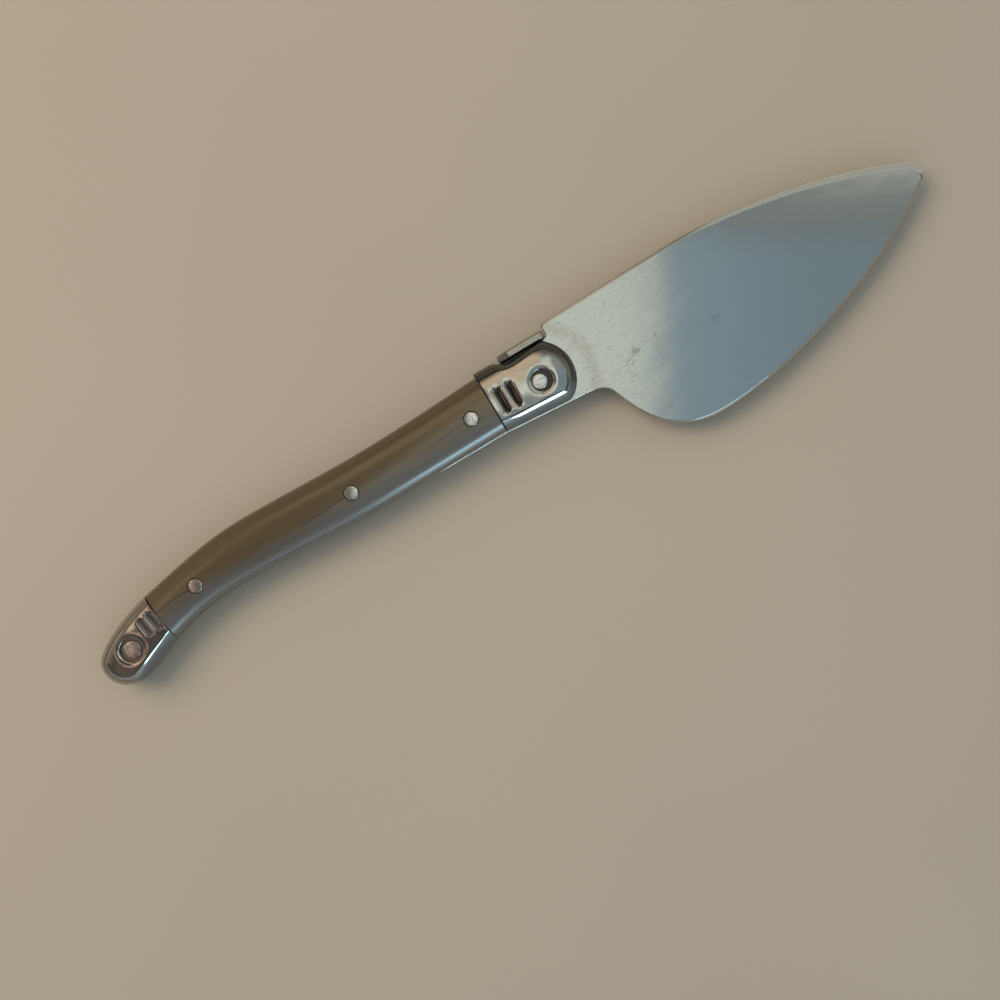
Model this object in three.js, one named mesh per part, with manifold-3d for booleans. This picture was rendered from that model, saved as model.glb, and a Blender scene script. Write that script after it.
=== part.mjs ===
// A cheese knife with a broad leaf-shaped blade and a riveted handle.
// One steel sheet makes the blade and a tang as long as the handle. On each side of the tang lie a front
// bolster, a scale and a rear bolster, and five rivets hold the stack together. A small plain plate is set
// into a notch on the spine, over the waist of the front bolsters.
// Millimetres. The pieces are drawn about the axis of the front rivet and the middle plane of the tang:
// +X runs to the tip, +Y to the spine and +Z out of the right-hand side. The finished knife lies on its
// left side, with the middle of its outline over the origin and its lowest faces at Z = 0.
import * as THREE from "three";
import { mergeVertices } from "three/addons/utils/BufferGeometryUtils.js";
import Module from "manifold-3d";

const wasm = await Module();
wasm.setup();

// Sheet of the blade and tang
const SHEET_THICKNESS = 2;
const EDGE_BREAK = 0.15;

// Blade. Heights and depths are taken from the axis of the front rivet
const BLADE_LENGTH = 97.2;
const SPINE_HEIGHT = 12.65;
const SPINE_START_HEIGHT = 11.85;
const BELLY_DEPTH = 28;
const TIP_RADIUS = 3.3;
const TIP_DEPTH = 2.4;
const CHOIL_LENGTH = 5;
const CHOIL_DEPTH = 2.75;
const CUTTING_BEVEL = 0.5;
const CUTTING_LAND = 0.8;
const SWAGE_WIDTH = 2.2;
const SWAGE_DEPTH = 0.4;
const SPINE_BEVEL = 0.7;
const SPINE_BEVEL_DEPTH = 0.15;

// Where the curves of the blade turn, as shares of its length, and how far their handles reach
const SPINE_PEAK_SHARE = 0.373;
const BELLY_LOW_SHARE = 0.284;
const SPINE_SLOPE_AT_TIP = 24;
const EDGE_SLOPE_AT_TIP = 36;
const SWAGE_END_ANGLE = 10;
const HEEL_LEAN = 20;
const SPINE_PULLS = [0.25, 0.38];
const EDGE_PULLS = [0.274, 0.342];
const HEEL_PULLS = [0.716, 0.372];
const CHOIL_PULLS = [0.55, 0.45];

// Front bolster
const FRONT_BOLSTER_BACK = 12.5;
const BOLSTER_HEIGHT = 4.4;
const NOSE_RADIUS = 9.3;
const NOSE_RISE = 0.7;
const NOSE_TOP_ANGLE = 48;
const NOSE_LOW_ANGLE = -50;
const CREST_HEIGHT = 9.7;
const CREST_FRONT = 8.5;
const WAIST_HEIGHT = 7.75;
const WAIST_BACK = 3.6;
const WAIST_SLOPE = 4;
const UNDERSIDE_SLOPE = 4.4;

// Rounded flanks of both bolsters
const FLANK_WIDTH = 2.8;
const FLANK_WALL = 0.8;
const WAIST_FLANK_SHARE = 0.57;

// Scales. Stations are shares of the scale's length, heights are taken from the front rivet's axis
const SCALE_LENGTH = 92.5;
const SCALE_HEIGHT = 4.2;
const SCALE_WALL = 0.7;
const SCALE_TOP_FRONT = 8.75;
const SCALE_TOP_WAIST = 7.63;
const SCALE_TOP_SWELL = 8.42;
const SCALE_TOP_REAR = 4.55;
const SCALE_LOW_FRONT = 5.95;
const SCALE_LOW_BELLY = 6.3;
const SCALE_LOW_WAIST = 4.7;
const SCALE_LOW_REAR = 7.85;
const TOP_WAIST_SHARE = 0.36;
const TOP_SWELL_SHARE = 0.71;
const LOW_BELLY_SHARE = 0.37;
const LOW_WAIST_SHARE = 0.776;
const TOP_FRONT_SLOPE = -0.05;
const TOP_REAR_SLOPE = -0.2;
const LOW_REAR_SLOPE = -0.36;
const SQUARENESS_FRONT = 2.9;
const SQUARENESS_MIDDLE = 2.3;
const SQUARENESS_REAR = 2.6;
const MIDDLE_FROM_SHARE = 0.45;
const MIDDLE_TO_SHARE = 0.6;

// Rear bolster
const REAR_BOLSTER_LENGTH = 18.5;
const REAR_JOINT_TILT = 7.5;
const TAIL_RADIUS = 6.1;
const TAIL_DEPTH = 6.2;
const TAIL_TOP_ANGLE = 165;
const TAIL_LOW_ANGLE = 275;
const TAIL_TOP_PULLS = [0.5, 0.17];
const TAIL_LOW_PULLS = [0.12, 0.2];

// Tang under the handle
const TANG_PROUD = 0.35;
const TANG_PROUD_RUN = 34;
const TANG_RECESS = 0.1;

// Rivets
const RIVET_RADIUS = 1.7;
const FRONT_RIVET_RADIUS = 1.85;
const TAIL_RIVET_RADIUS = 2.1;
const RIVET_CLEARANCE = 0.05;
const RIVET_DOME = 0.12;
const RIVET_DROP = 0.6;
const SCALE_RIVET_FRONT_SETBACK = 5.8;
const SCALE_RIVET_REAR_SETBACK = 11.2;
const SCALE_RIVET_MIDDLE_SHARE = 0.437;
const SCALE_RIVET_SINK = 0.02;
const TAIL_RIVET_AHEAD = 3.1;
const TAIL_RIVET_ABOVE = 1.1;

// Dished seats round the bolster rivets
const FRONT_SEAT_RADIUS = 2.6;
const TAIL_SEAT_RADIUS = 2.85;
const SEAT_DEPTH = 1.1;
const SEAT_RIVET_SINK = 0.55;
const DISH_WIDTH = 1.35;
const DISH_DEPTH = 0.25;
const FRONT_SEAT_SHIFT = 0.62;

// Keeled flutes pressed across the bolsters next to the scales
const FLUTE_DEPTH = 0.65;
const FLUTE_KEEL_SHARE = 0.36;
const FRONT_FLUTE_WIDTH = 2.5;
const FRONT_FLUTE_LENGTH = 7;
const FRONT_FLUTE_SETBACK = 2.4;
const FRONT_FLUTE_PITCH = 3.05;
const FRONT_FLUTE_RISE = 0.7;
const REAR_FLUTE_WIDTH = 1.9;
const REAR_FLUTE_LENGTH = 5.2;
const REAR_FLUTE_SETBACK = 1.5;
const REAR_FLUTE_PITCH = 2.4;
const FLUTE_COUNT = 2;

// Plain plate on the spine
const PLATE_LENGTH = 12.4;
const PLATE_BACK = 5.7;
const PLATE_THICKNESS = 1.9;
const PLATE_WIDTH = 5;
const PLATE_TAIL_WIDTH = 2;
const PLATE_TAPER = 2.4;
const PLATE_NOSE = 0.9;
const PLATE_ROUND = 0.4;
const PLATE_END_GAP = 0.5;
const PLATE_BOLSTER_GAP = 0.2;
const NOTCH_ROUND = 1;
const SHOULDER_ROUND = 0.9;

// Gap between a bolster and its scale
const JOINT_GAP = 0.15;

// Faceting
const ROUND_SEGMENTS = 24;
const FLANK_RINGS = 10;
const DISH_RINGS = 6;
const DOME_STEPS = 2;
const ARCH_STEPS = 16;
const SCALE_STATIONS = 36;

const radians = THREE.MathUtils.degToRad;
const HALF_SHEET = SHEET_THICKNESS / 2;
const FRONT_JOINT_X = -FRONT_BOLSTER_BACK;
const REAR_JOINT_X = FRONT_JOINT_X - SCALE_LENGTH;
const NOTCH_BACK_X = -PLATE_BACK - PLATE_END_GAP;
const SHOULDER_X = PLATE_LENGTH - PLATE_BACK + PLATE_END_GAP;
const TIP_X = SHOULDER_X + BLADE_LENGTH;

// Small helpers for points and curves in the knife's plane
function point(x, y) {
  return new THREE.Vector2(x, y);
}

function heading(degrees) {
  return point(Math.cos(radians(degrees)), Math.sin(radians(degrees)));
}

function ahead(start, direction, distance) {
  return start.clone().addScaledVector(direction, distance);
}

function onCircle(centre, radius, degrees) {
  return ahead(centre, heading(degrees), radius);
}

function crossing(start, direction, otherStart, otherDirection) {
  const between = otherStart.clone().sub(start);
  const reach = between.cross(otherDirection) / direction.cross(otherDirection);
  return ahead(start, direction, reach);
}

function arc(centre, radius, fromDegrees, toDegrees) {
  return new THREE.EllipseCurve(
    centre.x, centre.y, radius, radius, radians(fromDegrees), radians(toDegrees), toDegrees < fromDegrees,
  );
}

// Smooth edge through knots that each have a place, a height and a slope, straight beyond the last knots
function edgeHeight(knots, x) {
  const first = knots[0];
  const last = knots[knots.length - 1];
  if (x >= first.x) {
    return first.y + first.slope * (first.x - x);
  }
  if (x <= last.x) {
    return last.y + last.slope * (last.x - x);
  }
  const index = knots.findIndex((knot) => knot.x <= x);
  const before = knots[index - 1];
  const after = knots[index];
  const run = before.x - after.x;
  const t = (before.x - x) / run;
  const rest = 1 - t;
  return before.y * rest * rest * (1 + 2 * t)
    + after.y * t * t * (3 - 2 * t)
    + before.slope * run * t * rest * rest
    - after.slope * run * t * t * rest;
}

function knot(share, y, slope) {
  return { x: FRONT_JOINT_X - share * SCALE_LENGTH, y, slope };
}

const TOP_KNOTS = [
  knot(0, SCALE_TOP_FRONT, TOP_FRONT_SLOPE),
  knot(TOP_WAIST_SHARE, SCALE_TOP_WAIST, 0),
  knot(TOP_SWELL_SHARE, SCALE_TOP_SWELL, 0),
  knot(1, SCALE_TOP_REAR, TOP_REAR_SLOPE),
];
const LOW_KNOTS = [
  knot(0, -SCALE_LOW_FRONT, 0),
  knot(LOW_BELLY_SHARE, -SCALE_LOW_BELLY, 0),
  knot(LOW_WAIST_SHARE, -SCALE_LOW_WAIST, 0),
  knot(1, -SCALE_LOW_REAR, LOW_REAR_SLOPE),
];

function topEdge(x) {
  return edgeHeight(TOP_KNOTS, x);
}

function lowEdge(x) {
  return edgeHeight(LOW_KNOTS, x);
}

function middle(x) {
  return (topEdge(x) + lowEdge(x)) / 2;
}

// Underside of the front bolster, which runs on from the scale and slopes down towards the blade
function underside(x) {
  return -SCALE_LOW_FRONT - Math.tan(radians(UNDERSIDE_SLOPE)) * (x - FRONT_JOINT_X);
}

// The plate lies clear above the highest point of the bolster under it, where the waist meets the nose
const NOSE_CENTRE = point(0, NOSE_RISE);
const NOSE_SHOULDER = crossing(
  onCircle(NOSE_CENTRE, NOSE_RADIUS, NOSE_TOP_ANGLE), heading(NOSE_TOP_ANGLE + 90),
  point(-WAIST_BACK, WAIST_HEIGHT), heading(WAIST_SLOPE),
);
const PLATE_SEAT = NOSE_SHOULDER.y + PLATE_BOLSTER_GAP;
const TAIL_CENTRE = point(REAR_JOINT_X - REAR_BOLSTER_LENGTH + TAIL_RADIUS, -TAIL_DEPTH);

// Outline of the tail from the spine side round to the belly side, counter-clockwise
function tailOutline() {
  const topStart = point(REAR_JOINT_X, topEdge(REAR_JOINT_X));
  const topHeading = point(-1, TOP_REAR_SLOPE).normalize();
  const topEnd = onCircle(TAIL_CENTRE, TAIL_RADIUS, TAIL_TOP_ANGLE);
  const lowStart = onCircle(TAIL_CENTRE, TAIL_RADIUS, TAIL_LOW_ANGLE);
  const lowEnd = point(REAR_JOINT_X, lowEdge(REAR_JOINT_X));
  const lowHeading = point(1, -LOW_REAR_SLOPE).normalize();
  const top = new THREE.CubicBezierCurve(
    topStart,
    ahead(topStart, topHeading, TAIL_TOP_PULLS[0] * REAR_BOLSTER_LENGTH),
    ahead(topEnd, heading(TAIL_TOP_ANGLE + 90), -TAIL_TOP_PULLS[1] * REAR_BOLSTER_LENGTH),
    topEnd,
  );
  const low = new THREE.CubicBezierCurve(
    lowStart,
    ahead(lowStart, heading(TAIL_LOW_ANGLE + 90), TAIL_LOW_PULLS[0] * REAR_BOLSTER_LENGTH),
    ahead(lowEnd, lowHeading, -TAIL_LOW_PULLS[1] * REAR_BOLSTER_LENGTH),
    lowEnd,
  );
  const round = arc(TAIL_CENTRE, TAIL_RADIUS, TAIL_TOP_ANGLE, TAIL_LOW_ANGLE);
  return [...top.getPoints(12), ...round.getPoints(14).slice(1), ...low.getPoints(10).slice(1)];
}

// Moves an open line of points to its left, which is inwards on a counter-clockwise outline
function moveInward(points, distance) {
  return points.map((here, index) => {
    const before = points[Math.max(index - 1, 0)];
    const after = points[Math.min(index + 1, points.length - 1)];
    const direction = after.clone().sub(before).normalize();
    return point(here.x - direction.y * distance, here.y + direction.x * distance);
  });
}

// Outline of the front bolster, drawn in by a distance, counter-clockwise from the low rear corner
function frontBolsterOutline(inset) {
  const radius = NOSE_RADIUS - inset;
  const crest = CREST_HEIGHT - inset;
  const waist = WAIST_HEIGHT - inset * WAIST_FLANK_SHARE;
  const lowHeading = heading(-UNDERSIDE_SLOPE);
  const lowBack = point(FRONT_JOINT_X, underside(FRONT_JOINT_X) + inset);
  const noseLow = onCircle(NOSE_CENTRE, radius, NOSE_LOW_ANGLE);
  const lowCorner = crossing(lowBack, lowHeading, noseLow, heading(NOSE_LOW_ANGLE + 90));
  const lowFront = ahead(lowCorner, lowHeading, -noseLow.distanceTo(lowCorner));
  const waistHeading = heading(180 + WAIST_SLOPE);
  const waistBack = point(-WAIST_BACK, waist);
  const noseTop = onCircle(NOSE_CENTRE, radius, NOSE_TOP_ANGLE);
  const topCorner = crossing(noseTop, heading(NOSE_TOP_ANGLE + 90), waistBack, waistHeading);
  const waistFront = ahead(topCorner, waistHeading, noseTop.distanceTo(topCorner));
  const crestFront = point(-CREST_FRONT, crest);
  const bend = (CREST_FRONT - WAIST_BACK) / 2;
  const dip = new THREE.CubicBezierCurve(
    waistBack,
    ahead(waistBack, waistHeading, bend),
    ahead(crestFront, point(1, 0), bend),
    crestFront,
  );
  return [
    ...new THREE.LineCurve(lowBack, lowFront).getPoints(3),
    ...new THREE.QuadraticBezierCurve(lowFront, lowCorner, noseLow).getPoints(5).slice(1),
    ...arc(NOSE_CENTRE, radius, NOSE_LOW_ANGLE, NOSE_TOP_ANGLE).getPoints(16).slice(1),
    ...new THREE.QuadraticBezierCurve(noseTop, topCorner, waistFront).getPoints(5).slice(1),
    ...new THREE.LineCurve(waistFront, waistBack).getPoints(2).slice(1),
    ...dip.getPoints(8).slice(1),
    point(FRONT_JOINT_X, crest),
  ];
}

// Skins a stack of closed loops that all have the same number of points and closes both ends
function skin(loops, flatten) {
  const count = loops[0].length;
  const positions = loops.flat().flatMap((corner3) => [corner3.x, corner3.y, corner3.z]);
  const faces = [];
  for (let level = 0; level + 1 < loops.length; level += 1) {
    for (let index = 0; index < count; index += 1) {
      const here = level * count + index;
      const next = level * count + (index + 1) % count;
      faces.push(here, next, next + count, here, next + count, here + count);
    }
  }
  const lastStart = (loops.length - 1) * count;
  for (const [a, b, c] of THREE.ShapeUtils.triangulateShape(loops[0].map(flatten), [])) {
    faces.push(c, b, a);
  }
  for (const [a, b, c] of THREE.ShapeUtils.triangulateShape(loops[loops.length - 1].map(flatten), [])) {
    faces.push(lastStart + a, lastStart + b, lastStart + c);
  }
  const geometry = new THREE.BufferGeometry();
  geometry.setAttribute("position", new THREE.Float32BufferAttribute(positions, 3));
  geometry.setIndex(faces);
  return geometry;
}

function fromAbove(corner3) {
  return point(corner3.x, corner3.y);
}

function fromTheFront(corner3) {
  return point(corner3.y, corner3.z);
}

function atHeight(points, z) {
  return points.map((here) => new THREE.Vector3(here.x, here.y, z));
}

// Closed solids for cutting, and back to geometry
function solid(geometry) {
  const bare = new THREE.BufferGeometry();
  bare.setAttribute("position", geometry.getAttribute("position").clone());
  if (geometry.index) {
    bare.setIndex(geometry.index.clone());
  }
  const merged = mergeVertices(bare);
  const corners = merged.index.array;
  const kept = [];
  for (let index = 0; index < corners.length; index += 3) {
    const [a, b, c] = corners.slice(index, index + 3);
    if (a !== b && b !== c && c !== a) {
      kept.push(a, b, c);
    }
  }
  return new wasm.Manifold(new wasm.Mesh({
    numProp: 3,
    vertProperties: new Float32Array(merged.getAttribute("position").array),
    triVerts: new Uint32Array(kept),
  }));
}

function shapeOf(body) {
  const mesh = body.getMesh();
  const geometry = new THREE.BufferGeometry();
  geometry.setAttribute("position", new THREE.BufferAttribute(Float32Array.from(mesh.vertProperties), 3));
  geometry.setIndex(Array.from(mesh.triVerts));
  geometry.computeVertexNormals();
  return geometry;
}

function cut(body, cutters) {
  return cutters.reduce((left, cutter) => left.subtract(cutter), body);
}

// Round cutter along Z, centred on a point of the knife's plane
function bore(centre, radius, fromZ, toZ) {
  const geometry = new THREE.CylinderGeometry(radius, radius, toZ - fromZ, ROUND_SEGMENTS);
  geometry.rotateX(Math.PI / 2);
  geometry.translate(centre.x, centre.y, (fromZ + toZ) / 2);
  return solid(geometry);
}

// Shallow bowl whose sides run out level, for the dished face round a seat
function dish(centre, seatRadius, face) {
  const sides = Array.from({ length: DISH_RINGS + 1 }, (_, ring) => {
    const share = ring / DISH_RINGS;
    return point(seatRadius + DISH_WIDTH * share, -DISH_DEPTH * (1 - share) * (1 - share));
  });
  const floor = point(0, -DISH_DEPTH);
  const rim = point(seatRadius + DISH_WIDTH, BOLSTER_HEIGHT);
  const geometry = new THREE.LatheGeometry([floor, ...sides, rim, point(0, BOLSTER_HEIGHT)], ROUND_SEGMENTS);
  geometry.rotateX(Math.PI / 2);
  geometry.translate(centre.x, centre.y, face);
  return solid(geometry);
}

// Flute with round ends, whose sides slope to a keel nearer to its rear side, cut across a flat face
function flute(centre, width, length, turn, face) {
  const run = Math.max(length - width, RIVET_CLEARANCE) / 2;
  const keel = (FLUTE_KEEL_SHARE - 0.5) * width;
  const half = width / 2;
  const topEnd = arc(point(0, run), half, 0, 180).getPoints(ROUND_SEGMENTS / 2);
  const lowEnd = arc(point(0, -run), half, 180, 360).getPoints(ROUND_SEGMENTS / 2);
  const outline = [...topEnd, ...lowEnd];
  const keelLine = outline.map((here) => point(keel, Math.sign(here.y) * run));
  const spread = 1 + BOLSTER_HEIGHT / FLUTE_DEPTH;
  const above = outline.map((here, index) => keelLine[index].clone().lerp(here, spread));
  const geometry = skin([atHeight(keelLine, -FLUTE_DEPTH), atHeight(above, BOLSTER_HEIGHT)], fromAbove);
  geometry.rotateZ(turn);
  geometry.translate(centre.x, centre.y, face);
  return solid(geometry);
}

// Block that fills the space on one side of the tilted rear joint
function beyondRearJoint(side, gap) {
  const size = SCALE_LENGTH;
  const geometry = new THREE.BoxGeometry(size, size, size);
  geometry.translate(side * (size / 2 - gap), 0, 0);
  geometry.rotateZ(radians(REAR_JOINT_TILT));
  geometry.translate(REAR_JOINT_X, middle(REAR_JOINT_X), 0);
  return solid(geometry);
}

// Rivet places
function onMiddle(x) {
  return point(x, middle(x) - RIVET_DROP);
}

const FRONT_RIVET_AT = point(0, 0);
const TAIL_RIVET_AT = point(TAIL_CENTRE.x + TAIL_RIVET_AHEAD, TAIL_CENTRE.y + TAIL_RIVET_ABOVE);
const FIRST_X = FRONT_JOINT_X - SCALE_RIVET_FRONT_SETBACK;
const LAST_X = REAR_JOINT_X + SCALE_RIVET_REAR_SETBACK;
const MIDDLE_X = THREE.MathUtils.lerp(FIRST_X, LAST_X, SCALE_RIVET_MIDDLE_SHARE);
const SCALE_RIVETS_AT = [onMiddle(FIRST_X), onMiddle(MIDDLE_X), onMiddle(LAST_X)];

function rivetHole(centre, rivetRadius, fromZ, toZ) {
  return bore(centre, rivetRadius + RIVET_CLEARANCE, fromZ, toZ);
}

function scaleRivetHoles(fromZ, toZ) {
  return SCALE_RIVETS_AT.map((centre) => rivetHole(centre, RIVET_RADIUS, fromZ, toZ));
}

// Blade and tang
function tangProud(x) {
  const share = THREE.MathUtils.smoothstep(FRONT_JOINT_X - x, 0, TANG_PROUD_RUN);
  return THREE.MathUtils.lerp(TANG_PROUD, -TANG_RECESS, share);
}

function bladeOutline() {
  const outline = [];
  const plainLand = SHEET_THICKNESS - 2 * EDGE_BREAK;
  const plain = { bevel: EDGE_BREAK, land: plainLand };
  const sharp = { bevel: CUTTING_BEVEL, land: CUTTING_LAND };
  const swage = { bevel: SWAGE_WIDTH, land: SHEET_THICKNESS - 2 * SWAGE_DEPTH };
  const back = { bevel: SPINE_BEVEL, land: SHEET_THICKNESS - 2 * SPINE_BEVEL_DEPTH };

  function trace(points, from, to) {
    const kept = outline.length > 0 ? points.slice(1) : points;
    kept.forEach((here, index) => {
      const share = (index + 1) / kept.length;
      outline.push({
        at: here,
        bevel: THREE.MathUtils.lerp(from.bevel, to.bevel, share),
        land: THREE.MathUtils.lerp(from.land, to.land, share),
      });
    });
  }

  function edgeLine(edge, fromX, toX, count) {
    return Array.from({ length: count + 1 }, (_, index) => {
      const x = THREE.MathUtils.lerp(fromX, toX, index / count);
      return point(x, edge(x));
    });
  }

  const tangLow = (x) => lowEdge(x) - tangProud(x);
  const tangTop = (x) => topEdge(x) - TANG_RECESS;
  const crest = CREST_HEIGHT - TANG_RECESS;
  const low = (x) => underside(x) - TANG_PROUD;

  const choilStart = point(NOSE_RADIUS, low(NOSE_RADIUS));
  const heelTop = point(NOSE_RADIUS + CHOIL_LENGTH, choilStart.y - CHOIL_DEPTH);
  const heelHeading = heading(HEEL_LEAN - 90);
  const choil = new THREE.CubicBezierCurve(
    choilStart,
    ahead(choilStart, heading(-UNDERSIDE_SLOPE), CHOIL_PULLS[0] * CHOIL_LENGTH),
    ahead(heelTop, heelHeading, -CHOIL_PULLS[1] * CHOIL_DEPTH),
    heelTop,
  );
  const lowest = point(SHOULDER_X + BELLY_LOW_SHARE * BLADE_LENGTH, -BELLY_DEPTH);
  const heel = new THREE.CubicBezierCurve(
    heelTop,
    ahead(heelTop, heelHeading, HEEL_PULLS[1] * (heelTop.y - lowest.y)),
    ahead(lowest, point(-1, 0), HEEL_PULLS[0] * (lowest.x - heelTop.x)),
    lowest,
  );
  const tipCentre = point(TIP_X - TIP_RADIUS, -TIP_DEPTH);
  const edgeEnd = onCircle(tipCentre, TIP_RADIUS, EDGE_SLOPE_AT_TIP - 90);
  const spineEnd = onCircle(tipCentre, TIP_RADIUS, 90 - SPINE_SLOPE_AT_TIP);
  const edge = new THREE.CubicBezierCurve(
    lowest,
    ahead(lowest, point(1, 0), EDGE_PULLS[0] * (edgeEnd.x - lowest.x)),
    ahead(edgeEnd, heading(EDGE_SLOPE_AT_TIP), -EDGE_PULLS[1] * (edgeEnd.x - lowest.x)),
    edgeEnd,
  );
  const peak = point(SHOULDER_X + SPINE_PEAK_SHARE * BLADE_LENGTH, SPINE_HEIGHT);
  const spine = new THREE.CubicBezierCurve(
    spineEnd,
    ahead(spineEnd, heading(180 - SPINE_SLOPE_AT_TIP), SPINE_PULLS[1] * (spineEnd.x - peak.x)),
    ahead(peak, point(1, 0), SPINE_PULLS[0] * (spineEnd.x - peak.x)),
    peak,
  );
  const shoulder = point(SHOULDER_X, SPINE_START_HEIGHT);
  const shoulderEnd = ahead(shoulder, point(0, -1), SHOULDER_ROUND);
  const shoulderStart = ahead(shoulder, peak.clone().sub(shoulder).normalize(), SHOULDER_ROUND);
  const notchFront = point(SHOULDER_X, PLATE_SEAT);
  const notchBack = point(NOTCH_BACK_X, notchFront.y);
  const notchCorner = new THREE.QuadraticBezierCurve(
    ahead(notchFront, point(0, 1), NOTCH_ROUND), notchFront, ahead(notchFront, point(-1, 0), NOTCH_ROUND),
  );
  const spineKnot = point(FRONT_JOINT_X + TANG_RECESS, crest);

  trace(moveInward(tailOutline(), TANG_RECESS), plain, plain);
  trace(edgeLine(tangLow, REAR_JOINT_X, FRONT_JOINT_X, 24), plain, plain);
  trace([point(FRONT_JOINT_X, low(FRONT_JOINT_X)), choilStart], plain, plain);
  trace(choil.getPoints(8), plain, plain);
  trace(heel.getPoints(16), plain, sharp);
  trace(edge.getPoints(24), sharp, sharp);
  trace(arc(tipCentre, TIP_RADIUS, EDGE_SLOPE_AT_TIP - 90, SWAGE_END_ANGLE).getPoints(4), sharp, swage);
  trace(arc(tipCentre, TIP_RADIUS, SWAGE_END_ANGLE, 90 - SPINE_SLOPE_AT_TIP).getPoints(5), swage, swage);
  trace(spine.getPoints(20), swage, back);
  trace(new THREE.LineCurve(peak, shoulderStart).getPoints(3), back, back);
  trace(new THREE.QuadraticBezierCurve(shoulderStart, shoulder, shoulderEnd).getPoints(4), back, plain);
  trace([shoulderEnd, ...notchCorner.getPoints(4)], plain, plain);
  trace([notchFront, notchBack, point(NOTCH_BACK_X, crest), spineKnot], plain, plain);
  trace([spineKnot, ...edgeLine(tangTop, FRONT_JOINT_X, REAR_JOINT_X, 28).slice(0, -1)], plain, plain);
  return outline;
}

// Sheet with its rim bevelled by a different amount at each point of the outline
function bevelledSheet(outline) {
  const count = outline.length;
  const inner = outline.map(({ at, bevel }, index) => {
    const before = outline[(index + count - 1) % count].at;
    const after = outline[(index + 1) % count].at;
    const inDirection = at.clone().sub(before).normalize();
    const outDirection = after.clone().sub(at).normalize();
    const across = point(-inDirection.y - outDirection.y, inDirection.x + outDirection.x);
    return ahead(at, across, bevel / (1 + inDirection.dot(outDirection)));
  });
  const rim = (sign) => outline.map(({ at, land }) => new THREE.Vector3(at.x, at.y, sign * land / 2));
  return skin([atHeight(inner, -HALF_SHEET), rim(-1), rim(1), atHeight(inner, HALF_SHEET)], fromAbove);
}

function bladeShape() {
  const holes = [
    rivetHole(FRONT_RIVET_AT, FRONT_RIVET_RADIUS, -SHEET_THICKNESS, SHEET_THICKNESS),
    ...scaleRivetHoles(-SHEET_THICKNESS, SHEET_THICKNESS),
    rivetHole(TAIL_RIVET_AT, TAIL_RIVET_RADIUS, -SHEET_THICKNESS, SHEET_THICKNESS),
  ];
  return shapeOf(cut(solid(bevelledSheet(bladeOutline())), holes));
}

// Pad with rounded flanks, from an outline that can be drawn in by any distance. It stands on Z = 0
function pad(outlineAt) {
  const loops = [atHeight(outlineAt(0), 0)];
  for (let ring = 0; ring <= FLANK_RINGS; ring += 1) {
    const angle = (Math.PI / 2) * (ring / FLANK_RINGS);
    const inset = FLANK_WIDTH * (1 - Math.cos(angle));
    loops.push(atHeight(outlineAt(inset), FLANK_WALL + (BOLSTER_HEIGHT - FLANK_WALL) * Math.sin(angle)));
  }
  return solid(skin(loops, fromAbove));
}

// Cutters for a bolster's rivet: its hole, the seat that its end lies in and the dished face round it
function rivetSeat(rivet, rivetRadius, seat, seatRadius) {
  return [
    rivetHole(rivet, rivetRadius, -BOLSTER_HEIGHT, 2 * BOLSTER_HEIGHT),
    bore(seat, seatRadius, BOLSTER_HEIGHT - SEAT_DEPTH, 2 * BOLSTER_HEIGHT),
    dish(seat, seatRadius, BOLSTER_HEIGHT),
  ];
}

function frontBolsterShape() {
  const seat = point(FRONT_RIVET_AT.x + FRONT_SEAT_SHIFT, FRONT_RIVET_AT.y);
  const flutes = Array.from({ length: FLUTE_COUNT }, (_, index) => flute(
    point(FRONT_JOINT_X + FRONT_FLUTE_SETBACK + index * FRONT_FLUTE_PITCH, FRONT_FLUTE_RISE),
    FRONT_FLUTE_WIDTH, FRONT_FLUTE_LENGTH, 0, BOLSTER_HEIGHT,
  ));
  const rivet = rivetSeat(FRONT_RIVET_AT, FRONT_RIVET_RADIUS, seat, FRONT_SEAT_RADIUS);
  return shapeOf(cut(pad(frontBolsterOutline), [...rivet, ...flutes]));
}

function rearBolsterShape() {
  const runIn = [2 * FLANK_WIDTH, FLANK_WIDTH].map((overlap) => REAR_JOINT_X + overlap);
  const line = [
    ...runIn.map((x) => point(x, topEdge(x))),
    ...tailOutline(),
    ...runIn.reverse().map((x) => point(x, lowEdge(x))),
  ];
  const tilt = radians(REAR_JOINT_TILT);
  const jointCentre = point(REAR_JOINT_X, middle(REAR_JOINT_X));
  const flutes = Array.from({ length: FLUTE_COUNT }, (_, index) => flute(
    ahead(jointCentre, point(-Math.cos(tilt), -Math.sin(tilt)), REAR_FLUTE_SETBACK + index * REAR_FLUTE_PITCH),
    REAR_FLUTE_WIDTH, REAR_FLUTE_LENGTH, tilt, BOLSTER_HEIGHT,
  ));
  const body = pad((inset) => moveInward(line, inset)).subtract(beyondRearJoint(1, 0));
  const rivet = rivetSeat(TAIL_RIVET_AT, TAIL_RIVET_RADIUS, TAIL_RIVET_AT, TAIL_SEAT_RADIUS);
  return shapeOf(cut(body, [...rivet, ...flutes]));
}

// Scale with an arched section that is squarer at its ends than in the middle
function squareness(x) {
  const share = (FRONT_JOINT_X - x) / SCALE_LENGTH;
  const toMiddle = THREE.MathUtils.smoothstep(share, 0, MIDDLE_FROM_SHARE);
  const toRear = THREE.MathUtils.smoothstep(share, MIDDLE_TO_SHARE, 1);
  const front = THREE.MathUtils.lerp(SQUARENESS_FRONT, SQUARENESS_MIDDLE, toMiddle);
  return THREE.MathUtils.lerp(front, SQUARENESS_REAR, toRear);
}

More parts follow.
